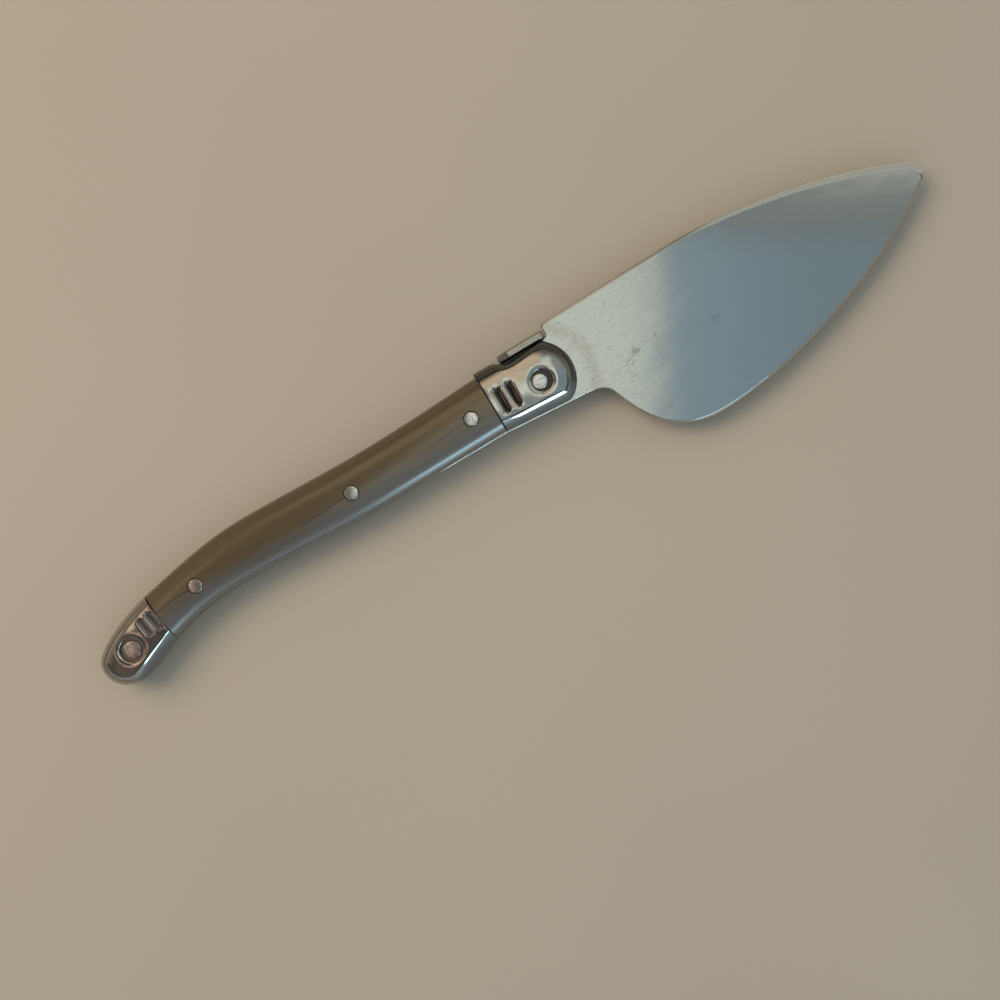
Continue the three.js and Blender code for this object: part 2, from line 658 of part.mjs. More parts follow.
function scaleSection(x) {
  const low = lowEdge(x);
  const top = topEdge(x);
  const half = (top - low) / 2;
  const power = 2 / squareness(x);
  const section = [new THREE.Vector3(x, low, 0), new THREE.Vector3(x, top, 0)];
  for (let step = 0; step <= ARCH_STEPS; step += 1) {
    const angle = Math.PI * (step / ARCH_STEPS);
    const across = Math.sign(Math.cos(angle)) * Math.abs(Math.cos(angle)) ** power;
    const up = Math.abs(Math.sin(angle)) ** power;
    const rounding = step === 0 || step === ARCH_STEPS ? 0 : up;
    section.push(new THREE.Vector3(
      x, (low + top) / 2 + half * across, SCALE_WALL + (SCALE_HEIGHT - SCALE_WALL) * rounding,
    ));
  }
  return section;
}

function scaleShape() {
  const overlap = FLANK_WIDTH;
  const front = FRONT_JOINT_X - JOINT_GAP;
  const rear = REAR_JOINT_X - overlap;
  const sections = Array.from({ length: SCALE_STATIONS + 1 }, (_, index) => (
    scaleSection(THREE.MathUtils.lerp(rear, front, index / SCALE_STATIONS))
  ));
  const body = solid(skin(sections, fromTheFront)).subtract(beyondRearJoint(-1, JOINT_GAP));
  return shapeOf(cut(body, scaleRivetHoles(-SCALE_HEIGHT, 2 * SCALE_HEIGHT)));
}

// Rivet through the whole stack, with gently domed ends, centred on the tang
function rivetShape(radius, halfLength) {
  const upper = Array.from({ length: DOME_STEPS + 1 }, (_, step) => {
    const share = 1 - step / DOME_STEPS;
    return point(radius * share, halfLength - RIVET_DOME * share * share);
  });
  const lower = upper.map((here) => point(here.x, -here.y)).reverse();
  const profile = [...lower, ...upper];
  const geometry = new THREE.LatheGeometry(profile, ROUND_SEGMENTS);
  geometry.rotateX(Math.PI / 2);
  return shapeOf(solid(geometry));
}

// Plate that tapers to its tail and is round at its front, with softened edges
function plateShape() {
  const half = PLATE_WIDTH / 2;
  const tail = PLATE_TAIL_WIDTH / 2;
  const plan = new THREE.Shape();
  plan.moveTo(0, -tail);
  plan.quadraticCurveTo(PLATE_TAPER / 2, -half, PLATE_TAPER, -half);
  plan.lineTo(PLATE_LENGTH - PLATE_NOSE, -half);
  plan.absellipse(PLATE_LENGTH - PLATE_NOSE, 0, PLATE_NOSE, half, -Math.PI / 2, Math.PI / 2, false, 0);
  plan.lineTo(PLATE_TAPER, half);
  plan.quadraticCurveTo(PLATE_TAPER / 2, half, 0, tail);
  plan.closePath();
  const geometry = new THREE.ExtrudeGeometry(plan, {
    depth: PLATE_THICKNESS - 2 * PLATE_ROUND,
    curveSegments: 8,
    bevelThickness: PLATE_ROUND,
    bevelSize: PLATE_ROUND,
    bevelOffset: -PLATE_ROUND,
    bevelSegments: 3,
  });
  geometry.translate(0, 0, PLATE_ROUND);
  geometry.rotateX(-Math.PI / 2);
  geometry.translate(-PLATE_BACK, PLATE_SEAT, 0);
  return shapeOf(solid(geometry));
}

// Materials
const bladeSteel = new THREE.MeshStandardMaterial({ color: 0xb4b6b2, roughness: 0.34, metalness: 1 });
const bolsterSteel = new THREE.MeshStandardMaterial({ color: 0xbab7b0, roughness: 0.16, metalness: 1 });
const rivetSteel = new THREE.MeshStandardMaterial({ color: 0xaeaca6, roughness: 0.38, metalness: 1 });
const pearlTaupe = new THREE.MeshStandardMaterial({ color: 0x6a6050, roughness: 0.28, metalness: 0 });

// Assembly
const knife = new THREE.Group();

function addPiece(name, geometry, material, z = 0, mirrored = false) {
  const mesh = new THREE.Mesh(geometry, material);
  mesh.name = name;
  mesh.position.z = z;
  mesh.scale.z = mirrored ? -1 : 1;
  knife.add(mesh);
}

function addPair(name, geometry, material) {
  addPiece(`${name}_right`, geometry, material, HALF_SHEET);
  addPiece(`${name}_left`, geometry, material, -HALF_SHEET, true);
}

function addRivet(name, centre, radius, halfLength) {
  const geometry = rivetShape(radius, halfLength);
  geometry.translate(centre.x, centre.y, 0);
  addPiece(name, geometry, rivetSteel);
}

const scaleRivetHalf = HALF_SHEET + SCALE_HEIGHT - SCALE_RIVET_SINK;
const bolsterRivetHalf = HALF_SHEET + BOLSTER_HEIGHT - SEAT_RIVET_SINK;

addPiece("blade", bladeShape(), bladeSteel);
addPiece("spine_plate", plateShape(), bolsterSteel);
addPair("front_bolster", frontBolsterShape(), bolsterSteel);
addPair("scale", scaleShape(), pearlTaupe);
addPair("rear_bolster", rearBolsterShape(), bolsterSteel);
addRivet("front_bolster_rivet", FRONT_RIVET_AT, FRONT_RIVET_RADIUS, bolsterRivetHalf);
addRivet("scale_rivet_front", SCALE_RIVETS_AT[0], RIVET_RADIUS, scaleRivetHalf);
addRivet("scale_rivet_middle", SCALE_RIVETS_AT[1], RIVET_RADIUS, scaleRivetHalf);
addRivet("scale_rivet_rear", SCALE_RIVETS_AT[2], RIVET_RADIUS, scaleRivetHalf);
addRivet("rear_bolster_rivet", TAIL_RIVET_AT, TAIL_RIVET_RADIUS, bolsterRivetHalf);

// Lay the knife on its left side with the middle of its outline over the origin
const bounds = new THREE.Box3().setFromObject(knife, true);
const centre = bounds.getCenter(new THREE.Vector3());
knife.position.set(-centre.x, -centre.y, -bounds.min.z);

const part = new THREE.Group();
part.add(knife);

export default part;
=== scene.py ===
"""A riveted cheese knife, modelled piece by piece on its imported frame.

The file is laid out as an add-on: one operator makes each kind of piece, one sets the stage, and a panel
in the 3D view's sidebar lists them. Run as a script, it makes the whole knife. All is in the frame's own
axes: +X runs to the tip, +Y to the spine and +Z up, out of the right-hand side. Shapes and the stage are in
metres, and the places that materials name are in millimetres.
"""
import math

import bmesh
import bpy
from bpy.props import FloatProperty, FloatVectorProperty, IntProperty, PointerProperty
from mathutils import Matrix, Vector


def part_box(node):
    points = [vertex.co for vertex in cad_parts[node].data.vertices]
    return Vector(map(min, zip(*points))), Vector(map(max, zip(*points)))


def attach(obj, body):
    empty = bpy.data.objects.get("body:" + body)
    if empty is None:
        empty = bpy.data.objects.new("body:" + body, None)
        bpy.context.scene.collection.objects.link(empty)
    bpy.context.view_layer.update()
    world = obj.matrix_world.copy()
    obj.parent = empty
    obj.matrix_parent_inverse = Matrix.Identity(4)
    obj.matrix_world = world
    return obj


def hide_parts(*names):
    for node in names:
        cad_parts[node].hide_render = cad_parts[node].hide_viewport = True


bl_info = {
    "name": "Riveted cheese knife",
    "version": (1, 0, 0),
    "blender": (4, 5, 0),
    "location": "3D View > Sidebar > Knife",
    "description": "Models the finished pieces of a riveted cheese knife on its frame",
    "category": "Add Mesh",
}

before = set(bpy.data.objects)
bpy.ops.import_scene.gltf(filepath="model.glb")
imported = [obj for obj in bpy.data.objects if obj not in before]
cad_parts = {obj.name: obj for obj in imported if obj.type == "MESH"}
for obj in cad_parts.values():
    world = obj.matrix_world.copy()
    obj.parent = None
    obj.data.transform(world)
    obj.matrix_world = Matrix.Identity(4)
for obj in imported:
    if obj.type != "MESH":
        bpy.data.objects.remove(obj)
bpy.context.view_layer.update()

MM = 0.001
SIDES = {"right": 1, "left": -1}
FRONT_RIVET = "front_bolster_rivet"
REAR_RIVET = "rear_bolster_rivet"
SCALE_RIVETS = ["scale_rivet_front", "scale_rivet_middle", "scale_rivet_rear"]

# Distances within which points merge, and within which a point lies on a plane
MERGE = MM / 1000
TOUCH = MM / 100

# Share of a normal along an axis from which a face looks that way
FACING = 0.99


# Properties


def length(name, description, default):
    return FloatProperty(
        name=name, description=description, default=default, unit="LENGTH", min=0, precision=5,
    )


def number(name, description, default):
    return FloatProperty(name=name, description=description, default=default)


def whole(name, description, default, least):
    return IntProperty(name=name, description=description, default=default, min=least)


def arc(name, description, degrees):
    return FloatProperty(name=name, description=description, default=math.radians(degrees), subtype="ANGLE")


def colour(name, description, default):
    return FloatVectorProperty(
        name=name, description=description, default=default, subtype="COLOR", size=3, min=0, soft_max=1,
    )


class KnifeShape(bpy.types.PropertyGroup):
    """Sizes of the fine forms that the pieces add to the frame"""

    sheet_round: length("Sheet edge", "Rounding of the blade's and tang's edges", 0.08 * MM)
    bolster_round: length("Bolster edge", "Rounding of the bolsters' flutes, seats and joints", 0.13 * MM)
    bolster_crown: length("Bolster crown", "Fall of the bolsters' tops towards their edges", 0.30 * MM)
    crown_reach: length("Crown reach", "Distance from the rivet over which a bolster's top falls", 5.5 * MM)
    crown_net: length("Crown net", "Spacing of the cuts that let a bolster's top bend", 0.9 * MM)
    plate_round: length("Plate edge", "Rounding of the spine plate's edges", 0.35 * MM)
    plate_nose: length("Plate nose", "Rounding of the plate's front corners", 0.9 * MM)
    plate_taper: length("Plate taper", "Length of the plate's narrowing tail", 2.4 * MM)
    plate_tail: number("Plate tail", "Width of the plate's tail as a share of its width", 0.4)
    scale_square: number("Scale squareness", "Exponent of the arched section, where 2 is an ellipse", 2.5)
    scale_wall: length("Scale wall", "Upright wall at the foot of a scale", 0.7 * MM)
    scale_round: length("Scale end", "Rounding of the scales' end edges", 0.05 * MM)
    scale_stations: whole("Stations", "Sections along a scale", 48, 8)
    arch_segments: whole("Arch", "Facets of half an arched section", 16, 4)
    hole_gap: length("Hole gap", "Gap between a rivet and its hole", 0.16 * MM)
    hole_flare: length("Hole flare", "Countersink round a rivet in a scale", 0.08 * MM)
    rivet_round: length("Rivet rim", "Rounding of the rivets' rims", 0.16 * MM)
    rivet_dome: length("Rivet dome", "Rise of the rivets' ends inside the rim", 0.05 * MM)


class KnifeFinish(bpy.types.PropertyGroup):
    """Colours of the knife's materials"""

    blade_steel: colour("Blade steel", "Satin steel of the blade", (0.56, 0.57, 0.56))
    bolster_steel: colour("Bolster steel", "Polished steel of the bolsters and plate", (0.58, 0.57, 0.54))
    rivet_steel: colour("Rivet steel", "Satin steel of the rivets", (0.74, 0.74, 0.72))
    brushed: colour("Brushing", "Darker strokes of the blade's brushing", (0.42, 0.43, 0.42))
    tarnish: colour("Tarnish", "Brownish film on old steel", (0.20, 0.17, 0.14))
    # Near-black for real smudges on the blade, for painted shade in the plate's groove and the front seats
    # and flutes, and for darkening along the front joint
    grime_and_shade: colour("Grime", "Dirt in joints, front flutes and the plate's groove", (0.012, 0.011, 0.010))
    # Brown painted shade in the rear seats and on one wall of each rear flute
    tail_shade: colour("Tail grime", "Brown dirt in the rear flutes and seats", (0.075, 0.048, 0.038))
    stain: colour("Stain", "Beige tide mark on the blade before the bolster", (0.36, 0.33, 0.27))
    # Painted reflection on the bolsters' flanks: dark at the front, warm at the rear and dull towards the
    # belly, for the dark room and the lit or shadowed table that polished steel mirrors
    painted_flank_reflection: colour("Flank film", "Dark film on the front bolsters' flanks", (0.15, 0.15, 0.13))
    tail_painted_reflection: colour("Tail film", "Warm film on the rear bolsters' flanks", (0.46, 0.42, 0.37))
    belly_painted_reflection: colour("Belly film", "Dull film on all flanks towards the belly", (0.150, 0.153, 0.147))
    # The scales' taupe in two copies: warm on the upper half as painted warm light, cool grey towards the
    # belly as a painted cool sheen
    pearl_warm: colour("Warm pearl", "Taupe of the scales", (0.112, 0.077, 0.029))
    pearl_painted_sheen: colour("Cool pearl", "Grey of the scales towards the belly", (0.150, 0.145, 0.134))
    pearl_dark: colour("Pearl lines", "Flow lines in the scales", (0.045, 0.036, 0.026))
    table: colour("Table", "Pale table under the knife", (0.42, 0.36, 0.275))


class KnifeStage(bpy.types.PropertyGroup):
    """Camera and soft lights"""

    camera_height: length("Camera height", "Height of the camera over the table", 285.4 * MM)
    camera_turn: arc("Camera turn", "Turn of the picture about the upright", 30.8)
    camera_field: arc("Field of view", "Angle across the picture", 46.1)
    camera_place: FloatVectorProperty(
        name="Camera place", description="Place of the camera over the table",
        default=(-12.66 * MM, -11.42 * MM), size=2, unit="LENGTH",
    )
    floor_size: length("Floor", "Side of the square table top", 8.0)
    card_height: length("Card height", "Height of the light cards over the table", 1.0)


# Selection and modelling helpers


def middle_of(node):
    low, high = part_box(node)
    return (low + high) / 2


def select_only(piece):
    bpy.ops.object.select_all(action="DESELECT")
    piece.select_set(True)
    bpy.context.view_layer.objects.active = piece


def pick(kind, test):
    """Selects what passes a test in the mesh in edit mode.

    The test gets the place and normal of a vertex or face, or the middle of an edge and the angle by which
    the surface bends over it, which is negative in a hollow.
    """
    piece = bpy.context.edit_object
    bpy.ops.mesh.select_mode(type=kind)
    bpy.ops.mesh.select_all(action="DESELECT")
    mesh = bmesh.from_edit_mesh(piece.data)
    mesh.normal_update()
    if kind == "VERT":
        found = [item for item in mesh.verts if test(item.co, item.normal)]
    elif kind == "EDGE":
        found = [
            item for item in mesh.edges
            if test((item.verts[0].co + item.verts[1].co) / 2, item.calc_face_angle_signed(0))
        ]
    else:
        found = [item for item in mesh.faces if test(item.calc_center_median(), item.normal)]
    if not found:
        raise RuntimeError(f"{piece.name} has no such {kind.lower()}")
    for item in found:
        item.select_set(True)
    mesh.select_flush_mode()
    bmesh.update_edit_mesh(piece.data)


def edit():
    bpy.ops.object.mode_set(mode="EDIT")


def done():
    bpy.ops.object.mode_set(mode="OBJECT")


def place_into_mesh():
    """Puts the place of the selected object into its mesh."""
    bpy.ops.object.transform_apply(location=True, rotation=True, scale=True)


def add_modifier(piece, kind, **settings):
    """Adds a modifier with its settings and applies it."""
    select_only(piece)
    bpy.ops.object.modifier_add(type=kind)
    modifier = piece.modifiers[-1]
    for name, value in settings.items():
        setattr(modifier, name, value)
    bpy.ops.object.modifier_apply(modifier=modifier.name)


def round_edges(piece, width, segments, angle):
    """Rounds all edges that are sharper than the angle."""
    add_modifier(
        piece, "BEVEL", width=width, segments=segments, limit_method="ANGLE",
        angle_limit=math.radians(angle), use_clamp_overlap=False, miter_outer="MITER_ARC",
    )


def smooth(piece, angle):
    """Smooth shading that keeps edges sharper than the angle, and flat faces flat."""
    select_only(piece)
    bpy.ops.object.shade_smooth_by_angle(angle=math.radians(angle))
    add_modifier(piece, "WEIGHTED_NORMAL", keep_sharp=True, weight=80)


def tidy_mesh(piece):
    """Merges doubles and turns all faces outwards."""
    select_only(piece)
    edit()
    bpy.ops.mesh.select_all(action="SELECT")
    bpy.ops.mesh.remove_doubles(threshold=MERGE)
    bpy.ops.mesh.normals_make_consistent(inside=False)
    done()


def copy_node(node, name):
    """A copy of a frame node as a new piece, its triangles merged into larger faces."""
    piece = bpy.data.objects.new(name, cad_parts[node].data.copy())
    bpy.context.scene.collection.objects.link(piece)
    select_only(piece)
    if piece.data.has_custom_normals:
        bpy.ops.mesh.customdata_custom_splitnormals_clear()
    edit()
    bpy.ops.mesh.select_all(action="SELECT")
    bpy.ops.mesh.remove_doubles(threshold=MERGE)
    bpy.ops.mesh.dissolve_limited(angle_limit=math.radians(0.2))
    bpy.ops.mesh.tris_convert_to_quads(face_threshold=math.radians(12), shape_threshold=math.radians(60))
    done()
    return piece


def settle(piece, node, material):
    """Puts the place of a piece into its mesh, gives it its material and lets it stand for a frame node."""
    select_only(piece)
    place_into_mesh()
    piece.data.materials.clear()
    piece.data.materials.append(material)
    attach(piece, "root")
    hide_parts(node)


# Shader expressions


class Socket:
    """One output in a shader tree. Arithmetic on it adds Math nodes."""

    def __init__(self, tree, output=None):
        self.tree = tree
        self.output = output

    def node(self, kind, settings=None, inputs=None, output=0):
        """Adds a node with its settings and the values or links of its sockets."""
        node = self.tree.nodes.new(kind)
        for name, value in (settings or {}).items():
            setattr(node, name, value)
        self.plug(node, inputs or {})
        return Socket(self.tree, node.outputs[output])

    def plug(self, node, inputs):
        """Sets or links the sockets of a node."""
        for name, value in inputs.items():
            if isinstance(value, Socket):
                self.tree.links.new(value.output, node.inputs[name])
            else:
                node.inputs[name].default_value = value

    def maths(self, operation, *values):
        return self.node("ShaderNodeMath", {"operation": operation}, dict(enumerate(values)))

    def __add__(self, other):
        return self.maths("ADD", self, other)

    __radd__ = __add__

    def __mul__(self, other):
        return self.maths("MULTIPLY", self, other)

    __rmul__ = __mul__

    def __sub__(self, other):
        return self.maths("SUBTRACT", self, other)

    def __rsub__(self, other):
        return self.maths("SUBTRACT", other, self)

    def __truediv__(self, other):
        return self.maths("DIVIDE", self, other)

    def __pow__(self, other):
        return self.maths("POWER", abs(self), other)

    def __abs__(self):
        return self.maths("ABSOLUTE", self)

    def past(self, value):
        """1 above a value and 0 below it."""
        return self.maths("GREATER_THAN", self, value)

    def at_least(self, value):
        return self.maths("MAXIMUM", self, value)

    def at_most(self, value):
        return self.maths("MINIMUM", self, value)

    def swing(self, reach):
        """Makes a noise swing about zero."""
        return (self - 0.5) * reach

    def step(self, low, high):
        """Rises smoothly from 0 at low to 1 at high."""
        return self.node(
            "ShaderNodeMapRange", {"interpolation_type": "SMOOTHSTEP"},
            {"Value": self, "From Min": low, "From Max": high},
        )

    def scaled(self, factors):
        """A vector times three factors."""
        return self.node("ShaderNodeVectorMath", {"operation": "MULTIPLY"}, {0: self, 1: factors})

    def axis(self, name):
        return self.node("ShaderNodeSeparateXYZ", None, {"Vector": self}, name)

    def distance(self, point):
        return self.node("ShaderNodeVectorMath", {"operation": "DISTANCE"}, {0: self, 1: point}, "Value")

    def distance_seen(self, point):
        """Distance from a point as seen from above."""
        return self.scaled((1.0, 1.0, 0.0)).distance((point.x, point.y, 0.0))

    def noise(self, scale, detail, roughness, distortion=0.0):
        return self.node("ShaderNodeTexNoise", None, {
            "Vector": self, "Scale": scale, "Detail": detail, "Roughness": roughness,
            "Distortion": distortion,
        })

    def streaks(self, along, across, detail, roughness, distortion=0.0):
        """Noise that is drawn out along the knife."""
        return self.scaled((along, across, across)).noise(1.0, detail, roughness, distortion)

    def mix(self, first, second):
        """Mixes two colours by this value."""
        return self.node("ShaderNodeMix", {"data_type": "RGBA"}, {0: self, 6: first, 7: second}, 2)


def start_material(name):
    """A new material, its Principled shader and tree, and the piece's coordinates in millimetres."""
    material = bpy.data.materials.new(name)
    material.use_nodes = True
    shader = material.node_tree.nodes["Principled BSDF"]
    tree = Socket(material.node_tree)
    place = tree.node("ShaderNodeTexCoord", output="Object").scaled((1 / MM, 1 / MM, 1 / MM))
    return material, shader, tree, place


def opaque(rgb):
    return (*rgb, 1)


def coat(body, tint_layer, mask, strength):
    """A colour under a film of another, as thick as its mask times its strength."""
    return (strength * mask).mix(body, opaque(tint_layer))


def added(masks):
    """The sum of several masks."""
    return sum(masks[1:], masks[0])


def bump(tree, height, strength, distance=1.0):
    return tree.node(
        "ShaderNodeBump", None,
        {"Strength": strength, "Distance": distance * MM, "Height": height}, "Normal",
    )


def middle_mm(node):
    return middle_of(node) / MM


# Steel of the blade

# Way across the blade on which its scratches give way to smooth steel, where, and how unevenly
WORN_WAY = (0.86, -0.51)
WORN_FROM = 27.0
WORN_TO = 36.0
WORN_DRIFT = 8.0

# Tide mark round the front bolster's nose: distances from the front rivet, and how unevenly it runs
TIDE_FROM = 10.8
TIDE_TO = 16.0
TIDE_DRIFT = 4.0

# Dark marks on the blade's right face: place, reach and strength, and how ragged their edges are
SMUDGES = [
    (33.0, 2.4, 1.5, 1.0), (33.8, 14.9, 0.6, 0.8), (32.6, 16.2, 0.4, 0.8), (53.3, -0.8, 1.6, 0.6),
    (52.3, -15.5, 0.8, 0.5), (33.9, -12.8, 0.8, 0.6), (28.0, 5.8, 0.9, 0.7), (39.0, 3.6, 0.7, 0.7),
]
SMUDGE_RAGGED = 4.0

# Painted shade in the groove under the spine plate: its depth, the fade of its rims, and the fades at its
# tail and nose
GROOVE_DEPTH = 2.0
GROOVE_FADE = 0.4
GROOVE_TAIL = 0.6
GROOVE_NOSE = 1.2


def blade_steel_material(finish):
    """Satin steel, scratched by the handle and smooth by the tip, with smudges, a tide mark and painted
    shade under the plate.
    """
    material, shader, tree, place = start_material("blade_steel")
    fine = place.streaks(0.45, 2.4, detail=5, roughness=0.65)
    broad = place.streaks(0.10, 1.4, detail=3, roughness=0.6)
    grain = place.streaks(1.6, 4.2, detail=4, roughness=0.7)
    waves = place.streaks(0.05, 0.09, detail=2, roughness=0.5)
    drift = place.noise(0.11, detail=3, roughness=0.5)
    reach = place.axis("X") * WORN_WAY[0] + place.axis("Y") * WORN_WAY[1]
    worn = 1 - (reach + drift.swing(WORN_DRIFT)).step(WORN_FROM, WORN_TO)
    strokes = 0.6 * fine + 0.4 * broad
    flecks = fine.step(0.57, 0.72) * drift.step(0.36, 0.6) * worn
    marks = smudges(place)
    body = opaque(finish.blade_steel)
    body = coat(body, finish.brushed, strokes.step(0.42, 0.66), strength=0.10 + 0.14 * worn)
    body = coat(body, finish.brushed, worn * grain.step(0.44, 0.64), strength=0.6)
    body = coat(body, finish.tarnish, flecks, strength=0.65)
    body = coat(body, finish.stain, tide_mark(place), strength=0.5)
    body = coat(body, finish.grime_and_shade, marks, strength=0.25)
    # Painted shade: the groove under the spine plate is darkened almost to black
    body = coat(body, finish.grime_and_shade, plate_groove_shade(place), strength=0.97)
    tree.plug(shader, {
        "Base Color": body,
        "Metallic": 1.0,
        "Roughness": 0.075 + 0.05 * strokes + 0.05 * worn * grain + 0.04 * marks,
        "Normal": bump(tree, 0.005 * strokes + 0.06 * waves, strength=1.0),
    })
    return material


def tide_mark(place):
    """Beige stain that follows the bolster's nose at a distance."""
    wobble = place.noise(0.35, detail=4, roughness=0.6).swing(TIDE_DRIFT)
    away = place.distance_seen(middle_mm(FRONT_RIVET)) + wobble
    middle = (TIDE_FROM + TIDE_TO) / 2
    ring = away.step(TIDE_FROM, middle) * (1 - away.step(middle, TIDE_TO))
    return ring * (0.35 + 0.65 * place.noise(0.9, detail=4, roughness=0.65).step(0.3, 0.6))


def smudges(place):
    """Small dark marks with ragged edges."""
    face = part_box("blade")[1].z / MM
    wobble = place.scaled((0.5, 1.2, 1.0)).noise(1.0, detail=3, roughness=0.6).swing(SMUDGE_RAGGED)
    spots = [
        strength * (1 - (place.distance((x, y, face)) / reach + wobble).step(0.1, 1.1))
        for x, y, reach, strength in SMUDGES
    ]
    return added(spots).at_most(1.0)


def plate_groove_shade(place):
    """Painted shade in the groove between the spine plate and the bolster's waist, where the plate keeps
    the light off.
    """
    tail, nose = (corner.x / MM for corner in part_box("spine_plate"))
    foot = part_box("spine_plate")[0].y / MM
    x = place.axis("X")
    y = place.axis("Y")
    inside = x.step(tail - GROOVE_TAIL, tail + GROOVE_TAIL) * (1 - x.step(nose - GROOVE_NOSE, nose))
    floor = foot - GROOVE_DEPTH
    return inside * y.step(floor, floor + GROOVE_FADE) * (1 - y.step(foot, foot + GROOVE_FADE))


# Steel of the bolsters, plate and rivets

# Places along the knife between the front and rear bolsters, and of the front bolsters' joint
MIDDLE_OF_HANDLE = -50.0
FRONT_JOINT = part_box("front_bolster_right")[0].x / MM

# Direction of the tail, up from the knife's own
TAIL_TURN = math.radians(35)

# Distances from a bolster's line over which its belly side begins
FRONT_BELLY = (-2.5, -5.5)
REAR_BELLY = (-2.0, -5.0)

# Rim of the painted reflection on the flanks: its height over the middle plane, how far it rises towards
# the spine and by the front joint and drops towards the nose, and half the width of its fade
FLANK_PAINT_TOP = 4.78
SPINE_PAINT_RISE = 0.17
JOINT_PAINT_RISE = 0.40
NOSE_PAINT_DROP = 0.07
FLANK_PAINT_FADE = 0.08

# Distances from a bolster's line, and from the front joint, over which that rim changes
SPINE_SIDE = (-4.0, 1.0)
JOINT_SIDE = (1.0, 5.0)
NOSE_SIDE = (4.0, 16.0)

# Flutes of each bolster: middles from its rivet, turn, half the width and run, shift of the keel and
# strength of the painted shade on one wall
FLUTES = {
    FRONT_RIVET: {
        "middles": [(-10.1, 0.7), (-7.05, 0.7)], "turn": 0.0,
        "half": 1.25, "run": 2.25, "keel": -0.35, "darkening": 0.75,
    },
    REAR_RIVET: {
        "middles": [(7.81, 3.25), (5.43, 2.94)], "turn": math.radians(7.5),
        "half": 0.95, "run": 1.65, "keel": -0.95, "darkening": 0.70,
    },
}
FLUTE_FADE = 0.15
KEEL_FADE = (-0.2, 0.05)

# Painted shade in the seats round the bolsters' rivets: its reach, the fade of its rim, where it ends, and
# its thickness
SEAT_REACH = 3.5
SEAT_FADE = 0.2
SEAT_TOP = (4.7, 5.05)
SEAT_SHADES = {FRONT_RIVET: 0.75, REAR_RIVET: 0.55}

# Distances from the front joint over which its darkening ends
JOINT_DARK_ENDS = (0.1, 0.4)


def bolster_steel_material(finish):
    """Polished steel, smeared on top, with painted reflection on its flanks, painted shade in seats and
    flutes and a dark front joint.
    """
    material, shader, tree, place = start_material("bolster_steel")
    haze = place.noise(0.35, detail=4, roughness=0.6)
    smears = place.noise(0.4, detail=4, roughness=0.6).step(0.42, 0.72)
    swells = place.noise(0.16, detail=1, roughness=0.4)
    scuffs = place.streaks(0.5, 3.5, detail=4, roughness=0.6)
    height = abs(place.axis("Z") - middle_mm("blade").z)
    at_front = place.axis("X").past(MIDDLE_OF_HANDLE)
    aside = off_line(place, at_front)
    flank = painted_flank_reflection(place, height, aside)
    by_belly = at_front * aside.step(*FRONT_BELLY) + (1 - at_front) * aside.step(*REAR_BELLY)
    dull = flank * by_belly
    # Painted reflection: the flanks take a dark, warm or dull colour in place of what polished flanks would
    # mirror
    tint_layer = at_front.mix(opaque(finish.tail_painted_reflection), opaque(finish.painted_flank_reflection))
    tint_layer = by_belly.mix(tint_layer, opaque(finish.belly_painted_reflection))
    # Painted shade in the seats and on one wall of each flute, and darkening along the front joint
    flutes = flute_shade(place)
    darkening = seat_shade(place, height) + flutes + 0.9 * joint_darkening(place)
    grime_and_shade = at_front.mix(opaque(finish.tail_shade), opaque(finish.grime_and_shade))
    body = coat(opaque(finish.bolster_steel), finish.tarnish, smears, strength=0.3)
    body = (0.9 * flank).mix(body, tint_layer)
    body = darkening.at_most(1.0).mix(body, grime_and_shade)
    tree.plug(shader, {
        "Base Color": body,
        "Metallic": 1 - 0.75 * dull - 0.3 * (1 - at_front) * flutes,
        "Roughness": 0.065 + 0.05 * haze + 0.04 * scuffs + 0.1 * flank + 0.2 * dull,
        "Specular IOR Level": 0.1,
        "Normal": bump(tree, 0.2 * swells, strength=1.0),
    })
    return material


def off_line(place, at_front):
    """Distance from a bolster's line through its rivet, positive towards the spine."""
    x = place.axis("X")
    y = place.axis("Y")
    front = middle_mm(FRONT_RIVET)
    rear = middle_mm(REAR_RIVET)
    off_rear = (y - rear.y) * math.cos(TAIL_TURN) - (x - rear.x) * math.sin(TAIL_TURN)
    return at_front * (y - front.y) + (1 - at_front) * off_rear


def painted_flank_reflection(place, height, aside):
    """Painted reflection on the flanks, whose rim is higher by the spine and the front joint and lower at
    the nose.
    """
    from_joint = place.axis("X") - FRONT_JOINT
    by_joint = from_joint.step(-1, 0) * (1 - from_joint.step(*JOINT_SIDE))
    by_spine = aside.step(*SPINE_SIDE)
    along_belly = JOINT_PAINT_RISE * by_joint - NOSE_PAINT_DROP * from_joint.step(*NOSE_SIDE)
    rim = FLANK_PAINT_TOP + SPINE_PAINT_RISE * by_spine + (1 - by_spine) * along_belly
    return 1 - (height - rim).step(-FLANK_PAINT_FADE, FLANK_PAINT_FADE)


def flute_shade(place):
    """Painted shade on the side of each flute that faces the tail."""
    walls = []
    for node, flute in FLUTES.items():
        rivet = middle_mm(node)
        cos, sin = math.cos(flute["turn"]), math.sin(flute["turn"])
        for across, along in flute["middles"]:
            off_x = place.axis("X") - (rivet.x + across)
            off_y = place.axis("Y") - (rivet.y + along)
            aside = off_x * cos + off_y * sin
            ahead = off_y * cos - off_x * sin
            beyond = (abs(ahead) - flute["run"]).at_least(0.0)
            radius = (aside ** 2 + beyond ** 2) ** 0.5
            inside = 1 - radius.step(flute["half"] - FLUTE_FADE, flute["half"])
            walls.append(flute["darkening"] * inside * (aside - flute["keel"]).step(*KEEL_FADE))
    return added(walls)


